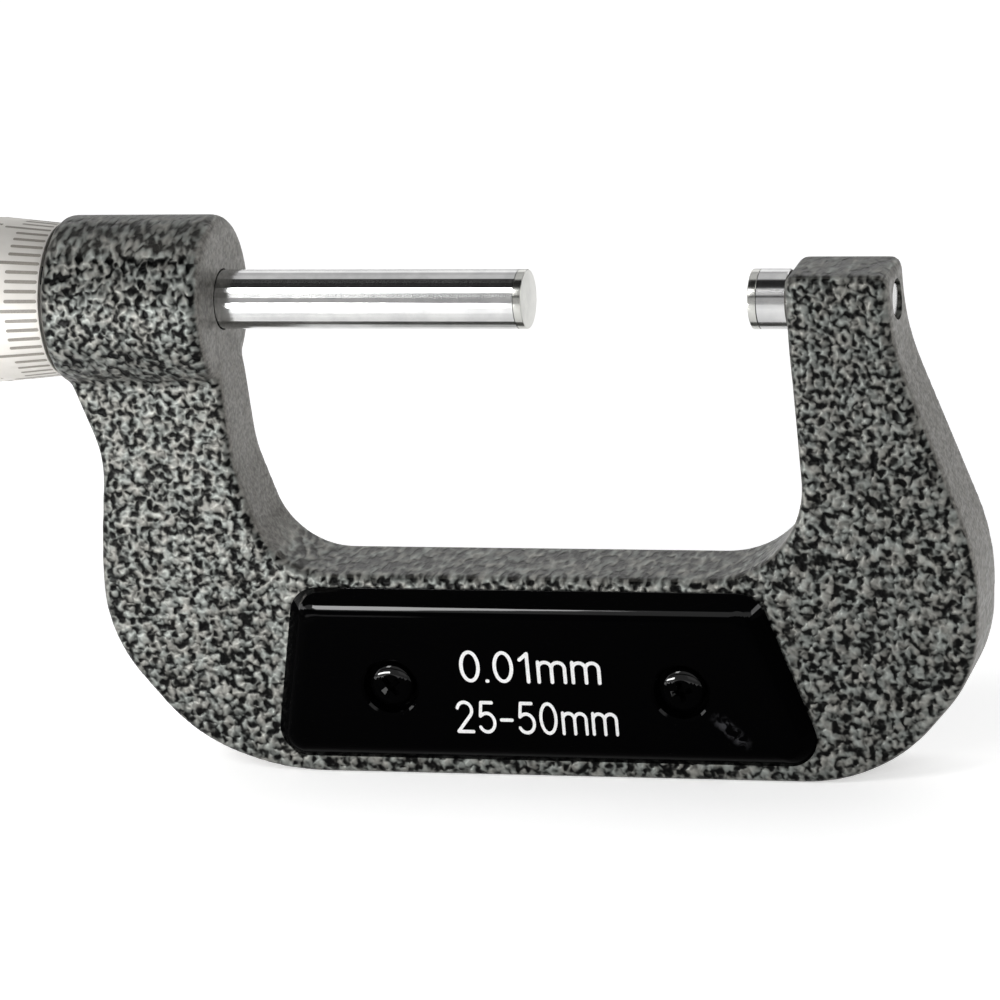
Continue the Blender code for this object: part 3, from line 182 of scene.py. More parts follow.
class Graph:
    """Builds the nodes of one material. Its places are in millimetres of the model's frame."""

    def __init__(self, name):
        self.material = bpy.data.materials.new(name)
        self.material.use_nodes = True
        self.tree = self.material.node_tree
        self.shader = self.tree.nodes["Principled BSDF"]
        self.coordinates = self.tree.nodes.new("ShaderNodeTexCoord")
        self.place = self.vector("MULTIPLY", self.coordinates.outputs["Object"], (1000, 1000, 1000))

    def node(self, kind, inputs, **settings):
        made = self.tree.nodes.new("ShaderNode" + kind)
        for name, value in settings.items():
            setattr(made, name, value)
        for key, value in inputs.items():
            self.feed(made.inputs[key], value)
        return made

    def feed(self, socket, value):
        if isinstance(value, bpy.types.NodeSocket):
            self.tree.links.new(value, socket)
        else:
            socket.default_value = value

    def set(self, **values):
        """Sets the shader's sockets. An underscore stands for a space in a socket's name."""
        for name, value in values.items():
            self.feed(self.shader.inputs[name.replace("_", " ")], value)

    def vector(self, operation, first, second):
        return self.node("VectorMath", {0: first, 1: second}, operation=operation).outputs["Vector"]

    def math(self, operation, first, second=0.0):
        return self.node("Math", {0: first, 1: second}, operation=operation).outputs["Value"]

    def noise(self, scale, detail=2.0, roughness=0.5, distortion=0.0, place=None):
        return self.node("TexNoise", {
            "Vector": place or self.place, "Scale": scale, "Detail": detail,
            "Roughness": roughness, "Distortion": distortion}).outputs["Fac"]

    def stretched(self, factors):
        return self.vector("MULTIPLY", self.place, factors)

    def remap(self, value, low, high, to_low=0.0, to_high=1.0):
        return self.node("MapRange", {
            "Value": value, "From Min": low, "From Max": high, "To Min": to_low, "To Max": to_high,
        }, interpolation_type="SMOOTHSTEP").outputs["Result"]

    def ramp(self, value, stops):
        """A colour ramp through grey levels given as (position, level)."""
        made = self.node("ValToRGB", {"Fac": value})
        elements = made.color_ramp.elements
        while len(elements) < len(stops):
            elements.new(0.5)
        for element, (position, level) in zip(elements, stops):
            element.position = position
            element.color = (level, level, level, 1.0)
        return made.outputs["Color"]

    def scaled(self, colour, factor):
        grey = self.node("CombineColor", {0: factor, 1: factor, 2: factor}).outputs[0]
        return self.mixed(1.0, colour, grey, "MULTIPLY")

    def mixed(self, share, first, second, blend="MIX"):
        made = self.node("Mix", {"Factor": share, 6: first, 7: second}, data_type="RGBA", blend_type=blend)
        return made.outputs[2]

    def blended(self, share, first, second):
        return self.node("Mix", {"Factor": share, 2: first, 3: second}, data_type="FLOAT").outputs[0]

    def bumped(self, height, strength, depth):
        made = self.node("Bump", {"Height": height, "Strength": strength, "Distance": depth})
        return made.outputs["Normal"]


def rgb(red, green, blue):
    return (red, green, blue, 1.0)


# How bright the hammer paint is at each level of its noise
WORM_TONES = (
    (0.28, 0.001), (0.36, 0.004), (0.42, 0.019), (0.49, 0.073), (0.56, 0.133), (0.64, 0.182), (0.76, 0.265))

# Where the paint changes, in millimetres: behind the head's face, above the neck, and up the arm to its top,
# where painted shade darkens the flat top
HEAD_FACE_FADE = (-62.2, -60.8)
NECK_FADE = (-10.5, -9.0)
ARM_TOP_PAINTED_SHADE_FADE = (-24, -12)


def hammertone_paint():
    """Sprayed hammer paint: silver worms on a black ground, fewer where the casting turns up or aside. The
    walls' plain grey is painted tone for the smooth look the light gives them; faces that turn up are painted
    lighter and the flat tops high up the arm painted darker, as painted light and shade.
    """
    graph = Graph("hammertone_paint")
    normal = graph.node("SeparateXYZ", {"Vector": graph.coordinates.outputs["Normal"]}).outputs
    place = graph.node("SeparateXYZ", {"Vector": graph.place}).outputs
    facing = graph.remap(graph.math("ABSOLUTE", normal["Y"]), 0.30, 0.72)
    upward = graph.remap(normal["Z"], 0.50, 0.85)
    # Painted shade: flat tops high up the arm are darkened, fading in with height.
    level = graph.math(
        "MULTIPLY", graph.remap(normal["Z"], 0.80, 0.98), graph.remap(place["Z"], *ARM_TOP_PAINTED_SHADE_FADE, 0.45))
    behind_face = graph.remap(place["X"], *HEAD_FACE_FADE, 1.0, 0.0)
    over_neck = graph.remap(place["Z"], *NECK_FADE)
    on_head = graph.math("MULTIPLY", graph.math("MULTIPLY", behind_face, over_neck), 0.62)
    on_top = graph.math("MULTIPLY", upward, 0.85)
    share = graph.math("MAXIMUM", facing, graph.math("MAXIMUM", on_top, on_head))
    worms = graph.noise(
        1.50, detail=0.6, roughness=0.40, distortion=0.4, place=graph.stretched((1, 0.45, 1)))
    pattern = graph.ramp(worms, WORM_TONES)
    tint = graph.remap(graph.noise(0.60, detail=2.0), 0.35, 0.65)
    tint = graph.mixed(tint, rgb(0.96, 1.02, 0.96), rgb(1.01, 1.0, 0.92))
    pattern = graph.mixed(1.0, pattern, tint, "MULTIPLY")
    specks = graph.remap(graph.noise(2.4, detail=1.5, roughness=0.5), 0.30, 0.70, 0.68, 1.28)
    # Painted shade: the walls' grey is a little darker on faces that turn up.
    ground = graph.math("MULTIPLY", specks, graph.blended(upward, 1.0, 0.90))
    # The walls that turn aside get a plain grey with a faint pattern: painted tone standing in for the
    # smooth, even look the light gives them.
    wall = graph.scaled(rgb(0.205, 0.197, 0.182), ground)
    wall = graph.mixed(0.22, wall, pattern)
    # Painted light and shade: faces that turn up are made lighter, flat tops high up the arm darker.
    painted_light_and_shade = graph.math("MULTIPLY", graph.blended(upward, 1.0, 1.4), graph.blended(level, 1.0, 0.6))
    graph.set(
        Base_Color=graph.scaled(graph.mixed(share, wall, pattern), painted_light_and_shade),
        Metallic=0.50,
        IOR=1.19,
        Roughness=graph.remap(worms, 0.40, 0.60, 0.32, 0.46),
        Normal=graph.bumped(worms, graph.blended(share, 0.25, 0.85), 0.35 * MM))
    return graph.material


# The pale patch's middle, in millimetres, measured along its length (X - Z) and across it (X + Z)
PALE_PATCH_ALONG = 42.4
PALE_PATCH_ACROSS = -50.8


def moulded_plastic(name, roughness, ior):
    """Black moulding with a faint ripple, hair scratches and one paler, rougher patch under the right screw.
    """
    graph = Graph(name)
    place = graph.node("SeparateXYZ", {"Vector": graph.place}).outputs
    ripple = graph.noise(0.16, detail=1.0)
    scuffs = graph.remap(graph.noise(1.1, detail=5.0, roughness=0.75, distortion=2.0), 0.62, 0.80)
    along = graph.math("SUBTRACT", place["X"], place["Z"])
    across = graph.math("ADD", place["X"], place["Z"])
    length = graph.math("ABSOLUTE", graph.math("SUBTRACT", along, PALE_PATCH_ALONG))
    width = graph.math("ABSOLUTE", graph.math("SUBTRACT", across, PALE_PATCH_ACROSS))
    # A paler, rougher patch under the right screw.
    pale_patch = graph.math(
        "MULTIPLY", graph.remap(length, 1.5, 4.2, 1.0, 0.0), graph.remap(width, 0.3, 1.5, 1.0, 0.0))
    pale_patch = graph.math("MULTIPLY", pale_patch, graph.remap(graph.noise(0.9, detail=3.0, distortion=1.0), 0.42, 0.62))
    colour = graph.mixed(scuffs, rgb(0.0006, 0.0006, 0.0007), rgb(0.002, 0.002, 0.002))
    graph.set(
        Base_Color=graph.mixed(pale_patch, colour, rgb(0.035, 0.035, 0.038)),
        Roughness=graph.math("ADD", graph.blended(scuffs, roughness, 0.20), graph.math("MULTIPLY", pale_patch, 0.2)),
        IOR=ior,
        Normal=graph.bumped(ripple, 0.5, 0.05 * MM))
    return graph.material


def turned_metal(name, colour, dark, roughness, ring_depth, ring_scale=9.0):
    """Metal with fine rings round the X axis and slow changes of tone."""
    graph = Graph(name)
    rings = graph.noise(1.0, detail=4.0, roughness=0.6, place=graph.stretched((ring_scale, 0.25, 0.25)))
    clouds = graph.noise(0.5, detail=3.0)
    least, most = roughness * (1 - RING_MOTTLE), roughness * (1 + RING_MOTTLE)
    graph.set(
        Base_Color=graph.mixed(graph.remap(clouds, 0.3, 0.7), dark, colour),
        Metallic=1.0,
        Roughness=graph.remap(rings, 0.25, 0.75, least, most),
        Normal=graph.bumped(rings, 0.35, ring_depth))
    return graph.material


def satin_chrome():
    """Bead-blasted plating: a fine even grain, warm and matt."""
    graph = Graph("satin_chrome")
    grain = graph.noise(14.0, detail=3.0, roughness=0.7)
    clouds = graph.noise(0.25, detail=3.0)
    colour = graph.mixed(graph.remap(clouds, 0.3, 0.7), rgb(0.575, 0.555, 0.522), rgb(0.65, 0.63, 0.597))
    graph.set(
        Base_Color=colour,
        Metallic=0.50,
        Roughness=graph.remap(grain, 0.3, 0.7, 0.50, 0.60),
        Normal=graph.bumped(grain, 0.25, 0.012 * MM))
    return graph.material


def bright_chrome():
    graph = Graph("bright_chrome")
    clouds = graph.noise(0.6, detail=4.0)
    graph.set(
        Base_Color=graph.mixed(graph.remap(clouds, 0.3, 0.7), rgb(0.60, 0.60, 0.60), rgb(0.68, 0.68, 0.67)),
        Metallic=1.0,
        Roughness=graph.remap(clouds, 0.3, 0.7, 0.12, 0.22),
        Normal=graph.bumped(graph.noise(6.0, detail=2.0), 0.2, 0.006 * MM))
    return graph.material


def black_steel():
    """Blackened steel, worn brighter in spots."""
    graph = Graph("blackened_steel")
    wear = graph.remap(graph.noise(2.2, detail=5.0, roughness=0.7), 0.58, 0.74)
    graph.set(
        Base_Color=graph.mixed(wear, rgb(0.018, 0.018, 0.020), rgb(0.12, 0.12, 0.12)),
        Metallic=0.8,
        Roughness=graph.blended(wear, 0.24, 0.38),
        Normal=graph.bumped(graph.noise(4.0, detail=4.0), 0.3, 0.02 * MM))
    return graph.material


def ink(name, colour):
    """Printed or filled marks, slightly uneven."""
    graph = Graph(name)
    spread = graph.noise(5.0, detail=3.0)
    worn = (colour[0] * 0.85, colour[1] * 0.85, colour[2] * 0.85, 1.0)
    graph.set(
        Base_Color=graph.mixed(graph.remap(spread, 0.35, 0.65), worn, colour),
        Roughness=graph.remap(spread, 0.3, 0.7, 0.42, 0.55))
    return graph.material


def mesh_object(name, points, faces, look):
    mesh = bpy.data.meshes.new(name)
    mesh.from_pydata(points, [], faces)
    made = bpy.data.objects.new(name, mesh)
    bpy.context.scene.collection.objects.link(made)
    dress(made, look)
    return made


def dress(piece, look, face_angle=FACE_ANGLE):
    """Points all faces outward, shades the piece smooth with sharp corners, and gives it its material."""
    builder = bmesh.new()
    builder.from_mesh(piece.data)
    bmesh.ops.recalc_face_normals(builder, faces=builder.faces)
    builder.to_mesh(piece.data)
    builder.free()
    piece.data.shade_smooth()
    piece.data.set_sharp_from_angle(angle=face_angle)
    piece.data.materials.clear()
    if look:
        piece.data.materials.append(look)


def lathe(name, profile, look=None, along="X", centre=(0, 0, 0), steps=TURN_STEPS, relief=None):
    """A turned piece. The profile is a closed loop of (distance along the axis, radius). relief gives how
    far the surface stands out at a distance and an angle."""
    points = []
    rings = []
    for distance, radius in profile:
        ring = []
        for step in range(1 if radius <= 0 else steps):
            angle = 2 * pi * step / steps
            reach = radius + (relief(distance, angle) if relief else 0)
            across, up = reach * sin(angle), reach * cos(angle)
            spot = (distance, across, up) if along == "X" else (across, distance, up)
            ring.append(len(points))
            points.append(tuple(a + b for a, b in zip(centre, spot)))
        rings.append(ring)
    faces = []
    pairs = list(zip(rings, rings[1:]))
    if len(rings[0]) > 1 or len(rings[-1]) > 1:
        pairs.append((rings[-1], rings[0]))
    for ring, after in pairs:
        for step in range(steps):
            beside = (step + 1) % steps
            if len(ring) > 1 and len(after) > 1:
                faces.append((ring[step], ring[beside], after[beside], after[step]))
            elif len(after) > 1:
                faces.append((ring[0], after[beside], after[step]))
            elif len(ring) > 1:
                faces.append((ring[step], ring[beside], after[0]))
    return mesh_object(name, points, faces, look)


def rounded(corners, shares=False):
    """A closed outline whose corners (across, up, fillet) are rounded. A fillet is a radius, or the share of
    the shorter side beside it that the arc takes."""
    outline = []
    for index, (across, up, fillet) in enumerate(corners):
        corner = Vector((across, up))
        if fillet == 0:
            outline.append((across, up))
            continue
        to_last = Vector(corners[index - 1][:2]) - corner
        to_next = Vector(corners[(index + 1) % len(corners)][:2]) - corner
        shorter = min(to_last.length, to_next.length)
        to_last.normalize()
        to_next.normalize()
        half_angle = acos(max(-1.0, min(1.0, to_last.dot(to_next)))) / 2
        radius = fillet * shorter * tan(half_angle) if shares else fillet
        middle = corner + (to_last + to_next).normalized() * (radius / sin(half_angle))
        first = corner + to_last * (radius / tan(half_angle)) - middle
        last = corner + to_next * (radius / tan(half_angle)) - middle
        start = atan2(first.y, first.x)
        sweep = (atan2(last.y, last.x) - start + pi) % (2 * pi) - pi
        steps = max(2, ceil(abs(sweep) / (2 * pi) * CORNER_STEPS))
        for step in range(steps + 1):
            turn = start + sweep * step / steps
            outline.append((middle.x + radius * cos(turn), middle.y + radius * sin(turn)))
    return outline


def arc(centre_x, centre_y, radius_x, radius_y, start, end, steps=14):
    """Points on an arc, with angles in degrees."""
    return [(centre_x + radius_x * cos(radians(start + (end - start) * step / steps)),
             centre_y + radius_y * sin(radians(start + (end - start) * step / steps)))
            for step in range(steps + 1)]


def modified(piece, *settings):
    """Adds modifiers given as (kind, values) and makes their result the piece's own mesh."""
    for kind, values in settings:
        step = piece.modifiers.new(kind.lower(), kind)
        for name, value in values.items():
            setattr(step, name, value)
    bpy.context.view_layer.update()
    shaped = piece.evaluated_get(bpy.context.evaluated_depsgraph_get())
    mesh = bpy.data.meshes.new_from_object(shaped)
    piece.modifiers.clear()
    piece.data = mesh
    return piece


def cut(piece, cutters, operation="DIFFERENCE"):
    group = bpy.data.collections.new(piece.name + "_cutters")
    for cutter in cutters:
        group.objects.link(cutter)
    modified(piece, ("BOOLEAN", {
        "operation": operation, "solver": "EXACT", "operand_type": "COLLECTION", "collection": group}))
    for cutter in cutters:
        bpy.data.objects.remove(cutter, do_unlink=True)


def drill(name, along, centre, radius, low, high, steps=64):
    return lathe(name, [(low, 0), (low, radius), (high, radius), (high, 0)], None, along, centre, steps)


def casting_outline():
    neck_end_x = HEAD_END_X + NECK_END_INSET
    left_wall_x = HEAD_FACE_X - HEAD_TO_THROAT_WALL
    widest_left_x = HEAD_FACE_X - LEFT_BULGE
    widest_right_x = ARM_OUTER_X + RIGHT_BULGE
    knee_z = -ARM_KNEE_DEPTH * THROAT_DEPTH
    corners = [
        (ARM_FACE_X, ARM_TOP_HEIGHT, ARM_CORNER_FILLET),
        (ARM_OUTER_X, ARM_TOP_HEIGHT, ARM_CORNER_FILLET),
        (ARM_OUTER_X, knee_z, ARM_OUTER_KNEE_FILLET)]
    corners += [(widest_right_x - inset, -depth * FRAME_DEPTH, fillet) for inset, depth, fillet in RIGHT_EDGE]
    corners += [(widest_left_x + inset, -depth * FRAME_DEPTH, fillet) for inset, depth, fillet in LEFT_EDGE]
    corners += [
        (neck_end_x, -HEAD_RADIUS + NECK_END_INSET, 0),
        (neck_end_x, -NECK_TOP_DROP, 0),
        (left_wall_x, -NECK_TOP_DROP, 0)]
    corners += [(left_wall_x + inset, -depth * THROAT_DEPTH, fillet) for inset, depth, fillet in THROAT_EDGE]
    corners += [
        (ARM_FACE_X + ARM_FOOT_INSET, -THROAT_DEPTH, ARM_FOOT_FILLET),
        (ARM_FACE_X, knee_z, ARM_INNER_KNEE_FILLET)]
    return rounded(corners, shares=True)


def make_casting(paint):
    """The frame as one casting: C, head and lock boss grown together with soft creases, then bored."""
    builder = bmesh.new()
    face = builder.faces.new([
        builder.verts.new((x, -BEAM_HALF_THICKNESS, z)) for x, z in casting_outline()])
    grown = bmesh.ops.extrude_face_region(builder, geom=[face])["geom"]
    moved = [item for item in grown if isinstance(item, bmesh.types.BMVert)]
    bmesh.ops.translate(builder, verts=moved, vec=(0, 2 * BEAM_HALF_THICKNESS, 0))
    bmesh.ops.bisect_plane(
        builder, geom=builder.verts[:] + builder.edges[:] + builder.faces[:],
        plane_co=(0, 0, TAPER_FOOT_Z), plane_no=(0, 0, 1))
    thinning = (BEAM_HALF_THICKNESS - TOP_HALF_THICKNESS) / (ARM_TOP_HEIGHT - TAPER_FOOT_Z)
    for vert in builder.verts:
        half = BEAM_HALF_THICKNESS - max(0.0, vert.co.z - TAPER_FOOT_Z) * thinning
        vert.co.y = half if vert.co.y > 0 else -half
    bmesh.ops.recalc_face_normals(builder, faces=builder.faces)
    sharp = [
        edge for edge in builder.edges if len(edge.link_faces) == 2
        and (abs(edge.link_faces[0].normal.y) < 0.5) != (abs(edge.link_faces[1].normal.y) < 0.5)]
    bmesh.ops.bevel(
        builder, geom=sharp, offset=EDGE_RADIUS, offset_type="OFFSET", segments=5, profile=0.5,
        affect="EDGES")
    mesh = bpy.data.meshes.new("casting")
    builder.to_mesh(mesh)
    builder.free()
    casting = bpy.data.objects.new("casting", mesh)
    bpy.context.scene.collection.objects.link(casting)

    rim_turns = [radians(9 * step) for step in range(11)]
    rim = [(HEAD_RIM_RADIUS * (1 - sin(turn)), HEAD_RADIUS - HEAD_RIM_RADIUS * (1 - cos(turn)))
           for turn in rim_turns]
    rear_rim = [(HEAD_END_X + inset, radius) for inset, radius in reversed(rim)]
    front_rim = [(HEAD_FACE_X - inset, radius) for inset, radius in rim]
    head = lathe("head_form", [(HEAD_END_X, 0)] + rear_rim + front_rim + [(HEAD_FACE_X, 0)])
    boss = lathe("boss_form", [
        (0, 0), (0, LOCK_BOSS_RADIUS), (LOCK_BOSS_FACE, LOCK_BOSS_RADIUS), (LOCK_BOSS_FACE, 0),
    ], along="Y", centre=(LOCK_X, 0, LOCK_Z))
    cut(casting, [head, boss], "UNION")
    modified(
        casting,
        ("REMESH", {"mode": "VOXEL", "voxel_size": CASTING_VOXEL}),
        ("SMOOTH", {"factor": 0.5, "iterations": CASTING_SMOOTHING}))
    lock_centre = (LOCK_X, 0, LOCK_Z)
    cut(casting, [
        drill("head_bore", "X", (0, 0, 0), HEAD_BORE_RADIUS, HEAD_END_X - OVERCUT, HEAD_BORE_END_X),
        drill("guide_bore", "X", (0, 0, 0), GUIDE_RADIUS, HEAD_BORE_END_X - OVERCUT, HEAD_FACE_X + OVERCUT),
        drill("anvil_bore", "X", (0, 0, 0), ANVIL_BORE_RADIUS, 0, ARM_OUTER_X + OVERCUT),
        drill("lock_bore", "Y", lock_centre, LOCK_BORE_RADIUS, LOCK_BORE_END_Y, LOCK_BOSS_FACE + OVERCUT),
        drill("lock_spotface", "Y", lock_centre, SPOTFACE_RADIUS, LOCK_BOSS_FACE, HEAD_RADIUS + OVERCUT)])
    dress(casting, paint, radians(38))
    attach(casting, "frame_body")
    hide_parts("frame")


def plate_edge():
    """The plate's edge from its seat to its face, as (inset, height above the seat).

    It is a low step, a slope and a rounding that ends flush with the face."""
    top = PLATE_FACE_Y - PLATE_SEAT_Y
    points = [(0.25 * MM, 0.0), (0.05 * MM, 0.06 * MM), (0.0, PLATE_STEP)]
    points.append((0.03 * MM, PLATE_STEP + 0.06 * MM))
    for step in range(13):
        turn = PLATE_SLOPE_ANGLE * (1 - step / 12)
        inset = PLATE_SLOPE_INSET + PLATE_ROUNDING * (sin(PLATE_SLOPE_ANGLE) - sin(turn))
        points.append((inset, top - PLATE_ROUNDING * (1 - cos(turn))))
    return points


def plate_outline(inset):
    """The plate's outline moved inwards. The sides lean, so their corners move along the lean."""
    lean_left = (PLATE_TOP_X[0] - PLATE_BOTTOM_X[0]) / (PLATE_TOP_Z - PLATE_BOTTOM_Z)
    lean_right = (PLATE_TOP_X[1] - PLATE_BOTTOM_X[1]) / (PLATE_TOP_Z - PLATE_BOTTOM_Z)
    left = inset * (1 + lean_left ** 2) ** 0.5
    right = inset * (1 + lean_right ** 2) ** 0.5
    radius = max(PLATE_INNER_RADIUS, PLATE_CORNER_RADIUS - inset)
    return rounded([
        (PLATE_TOP_X[0] + left - inset * lean_left, PLATE_TOP_Z - inset, radius),
        (PLATE_TOP_X[1] - right - inset * lean_right, PLATE_TOP_Z - inset, radius),
        (PLATE_BOTTOM_X[1] - right + inset * lean_right, PLATE_BOTTOM_Z + inset, radius),
        (PLATE_BOTTOM_X[0] + left + inset * lean_left, PLATE_BOTTOM_Z + inset, radius)])


def polish(piece, gloss, least):
    """Gives the faces that turn upwards, by least or more, a second, glossier material."""
    piece.data.materials.append(gloss)
    for polygon in piece.data.polygons:
        if polygon.normal.z > least:
            polygon.material_index = 1


def make_plate(name, node, side, plastic, gloss):
    """A moulded plate: sloping rounded edge, flat face, two screw pockets. side is -1 in front.

    What turns upwards is polished, the rest is satin."""
    points = []
    faces = []
    rings = []
    for inset, height in plate_edge():
        ring = []
        for x, z in plate_outline(inset):
            ring.append(len(points))
            points.append((x, side * (PLATE_SEAT_Y + height), z))
        rings.append(ring)
    count = len(rings[0])
    for ring, after in zip(rings, rings[1:]):
        for index in range(count):
            beside = (index + 1) % count
            faces.append((ring[index], ring[beside], after[beside], after[index]))
    faces.append(rings[0])
    faces.append(rings[-1])
    plate = mesh_object(name, points, faces, plastic)
    pockets = []
    floor = PLATE_FACE_Y - POCKET_DEPTH
    profile = [
        (floor, 0), (floor, POCKET_RADIUS - POCKET_LIP), (floor + POCKET_LIP, POCKET_RADIUS),
        (PLATE_FACE_Y - POCKET_LIP, POCKET_RADIUS), (PLATE_FACE_Y, POCKET_RADIUS + POCKET_LIP),
        (PLATE_FACE_Y + OVERCUT, POCKET_RADIUS + POCKET_LIP), (PLATE_FACE_Y + OVERCUT, 0)]
    for x in SCREW_X:
        pockets.append(lathe(
            name + "_pocket", [(side * y, radius) for y, radius in profile], None, "Y", (x, 0, SCREW_Z), 96))
    cut(plate, pockets)
    dress(plate, plastic, radians(24))
    polish(plate, gloss, PLATE_POLISH_FROM)
    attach(plate, "frame_body")
    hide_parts(node)


def make_plate_screw(name, node, side, x, turned_by, satin, gloss):
    """A crowned head with a tapered cross recess."""
    radius = SCREW_HEAD_RADIUS
    low = PLATE_FACE_Y - POCKET_DEPTH + 0.1 * MM
    rise = SCREW_TOP_Y - low
    crown = [(low + rise * (0.42 + 0.58 * sin(radians(turn))), radius * cos(radians(turn)) ** 0.75)
             for turn in range(0, 86, 7)]
    profile = [(low, 0), (low, radius * 0.97), (low + 0.1 * MM, radius)] + crown + [(SCREW_TOP_Y, 0)]
    screw = lathe(
        name, [(side * y, reach) for y, reach in profile], None, "Y", (x, 0, SCREW_Z), 64)
    blades = []
    for blade in range(2):
        turn = turned_by + blade * pi / 2
        along = Vector((cos(turn), 0, sin(turn)))
        across = Vector((-sin(turn), 0, cos(turn)))
        points = []
        for depth, half_length, half_width in ((-0.9, 0.55, 0.20), (0.6, 1.75, 0.42)):
            for sign_along, sign_across in ((1, 1), (-1, 1), (-1, -1), (1, -1)):
                spot = Vector((x, side * (SCREW_TOP_Y + depth * MM), SCREW_Z))
                spot += along * sign_along * half_length * MM
                points.append(spot + across * sign_across * half_width * MM)
        blades.append(mesh_object(
            name + "_blade", points,
            [(0, 1, 2, 3), (4, 5, 6, 7), (0, 1, 5, 4), (1, 2, 6, 5), (2, 3, 7, 6), (3, 0, 4, 7)], None))
    cut(screw, blades)
    dress(screw, satin)
    polish(screw, gloss, SCREW_POLISH_FROM)
    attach(screw, "frame_body")
    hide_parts(node)


def rod_edge(x, inward, size):
    """A small rounded corner of a rod's end, as (distance, radius) from the face out to the side."""
    return [(x + inward * size * (1 - cos(radians(turn))), ROD_RADIUS - size * (1 - sin(radians(turn))))
            for turn in range(0, 91, 15)]


def make_rods(steel, carbide):
    """Spindle and anvil with their hard-metal tips."""
    for name, node, body, face_x, inward in (
            ("spindle_tip_face", "spindle_tip", "carriage", SPINDLE_FACE_X, -1),
            ("anvil_tip_face", "anvil_tip", "frame_body", 0.0, 1)):
        end_x = face_x + inward * TIP_LENGTH
        tip = lathe(name, [(face_x, 0)] + rod_edge(face_x, inward, 0.14 * MM) + [
            (end_x - inward * 0.03 * MM, ROD_RADIUS), (end_x, ROD_RADIUS - 0.03 * MM), (end_x, 0)], carbide)
        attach(tip, body)
        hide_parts(node)
    start_x = TIP_LENGTH + 0.05 * MM
    end_x = ARM_FACE_X - 0.1 * MM
    shank_radius = 1.9 * MM
    shank_end_x = ARM_OUTER_X - 0.25 * MM
    anvil = lathe("anvil_pin", [
        (start_x, 0), (start_x, ROD_RADIUS - 0.04 * MM), (start_x + 0.04 * MM, ROD_RADIUS),
        (end_x - 0.12 * MM, ROD_RADIUS), (end_x, ROD_RADIUS - 0.12 * MM), (end_x, shank_radius),
        (shank_end_x - 0.25 * MM, shank_radius), (shank_end_x, shank_radius - 0.25 * MM), (shank_end_x, 0),
    ], steel)
    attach(anvil, "frame_body")
    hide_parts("anvil")


# Strokes of plain engraved digits and letters, one unit high: (width, strokes)
GLYPHS = {
    "0": (0.56, [arc(0.28, 0.5, 0.28, 0.5, 0, 360, 32)]),
    "1": (0.36, [[(0.02, 0.76), (0.27, 0.98)], [(0.27, 0.98), (0.27, 0.0)]]),
    "2": (0.56, [arc(0.28, 0.73, 0.27, 0.27, 165, -38, 18) + [(0.0, 0.0)], [(0.0, 0.0), (0.56, 0.0)]]),
    "3": (0.54, [arc(0.26, 0.745, 0.25, 0.255, 150, -80, 16), arc(0.26, 0.26, 0.28, 0.26, 85, -150, 16)]),
    "4": (0.60, [[(0.44, 0.0), (0.44, 1.0)], [(0.44, 1.0), (0.0, 0.27)], [(0.0, 0.27), (0.60, 0.27)]]),
    "5": (0.56, [[(0.50, 1.0), (0.10, 1.0)], [(0.10, 1.0), (0.04, 0.54)],
                 [(0.04, 0.54)] + arc(0.27, 0.32, 0.29, 0.32, 115, -150, 20)]),
    "6": (0.56, [arc(0.28, 0.31, 0.28, 0.31, 0, 360, 28),
                 [(0.0, 0.31), (0.06, 0.66), (0.20, 0.88), (0.42, 1.0)]]),
    "7": (0.54, [[(0.0, 1.0), (0.54, 1.0)], [(0.54, 1.0), (0.20, 0.0)]]),
    "8": (0.56, [arc(0.28, 0.75, 0.24, 0.25, 0, 360, 24), arc(0.28, 0.26, 0.28, 0.26, 0, 360, 24)]),
    "9": (0.56, [arc(0.28, 0.69, 0.28, 0.31, 0, 360, 28),
                 [(0.56, 0.69), (0.50, 0.34), (0.36, 0.12), (0.14, 0.0)]]),
    "m": (0.86, [[(0.0, 0.0), (0.0, 0.70)], arc(0.215, 0.48, 0.215, 0.21, 180, 0, 14) + [(0.43, 0.0)],
                 arc(0.645, 0.48, 0.215, 0.21, 180, 0, 14) + [(0.86, 0.0)]]),
    ".": (0.02, [[(0.0, 0.0), (0.02, 0.0)]]),
    "-": (0.40, [[(0.0, 0.42), (0.40, 0.42)]])}
GLYPH_GAP = 0.26
MARK_LIFT = 0.012 * MM
MARK_LAYERS = 7
MARK_LAYER_STEP = 0.0015 * MM

# The plate's two lines, in millimetres: words, left and right end, foot and head
PLATE_WORDS = (
    ("0.01mm", -34.3, -18.3, -41.5, -37.75),
    ("25-50mm", -35.25, -16.8, -47.5, -43.65))
PLATE_WORDS_STROKE = 0.40 * MM
PLATE_WORDS_LIFT = 0.02 * MM


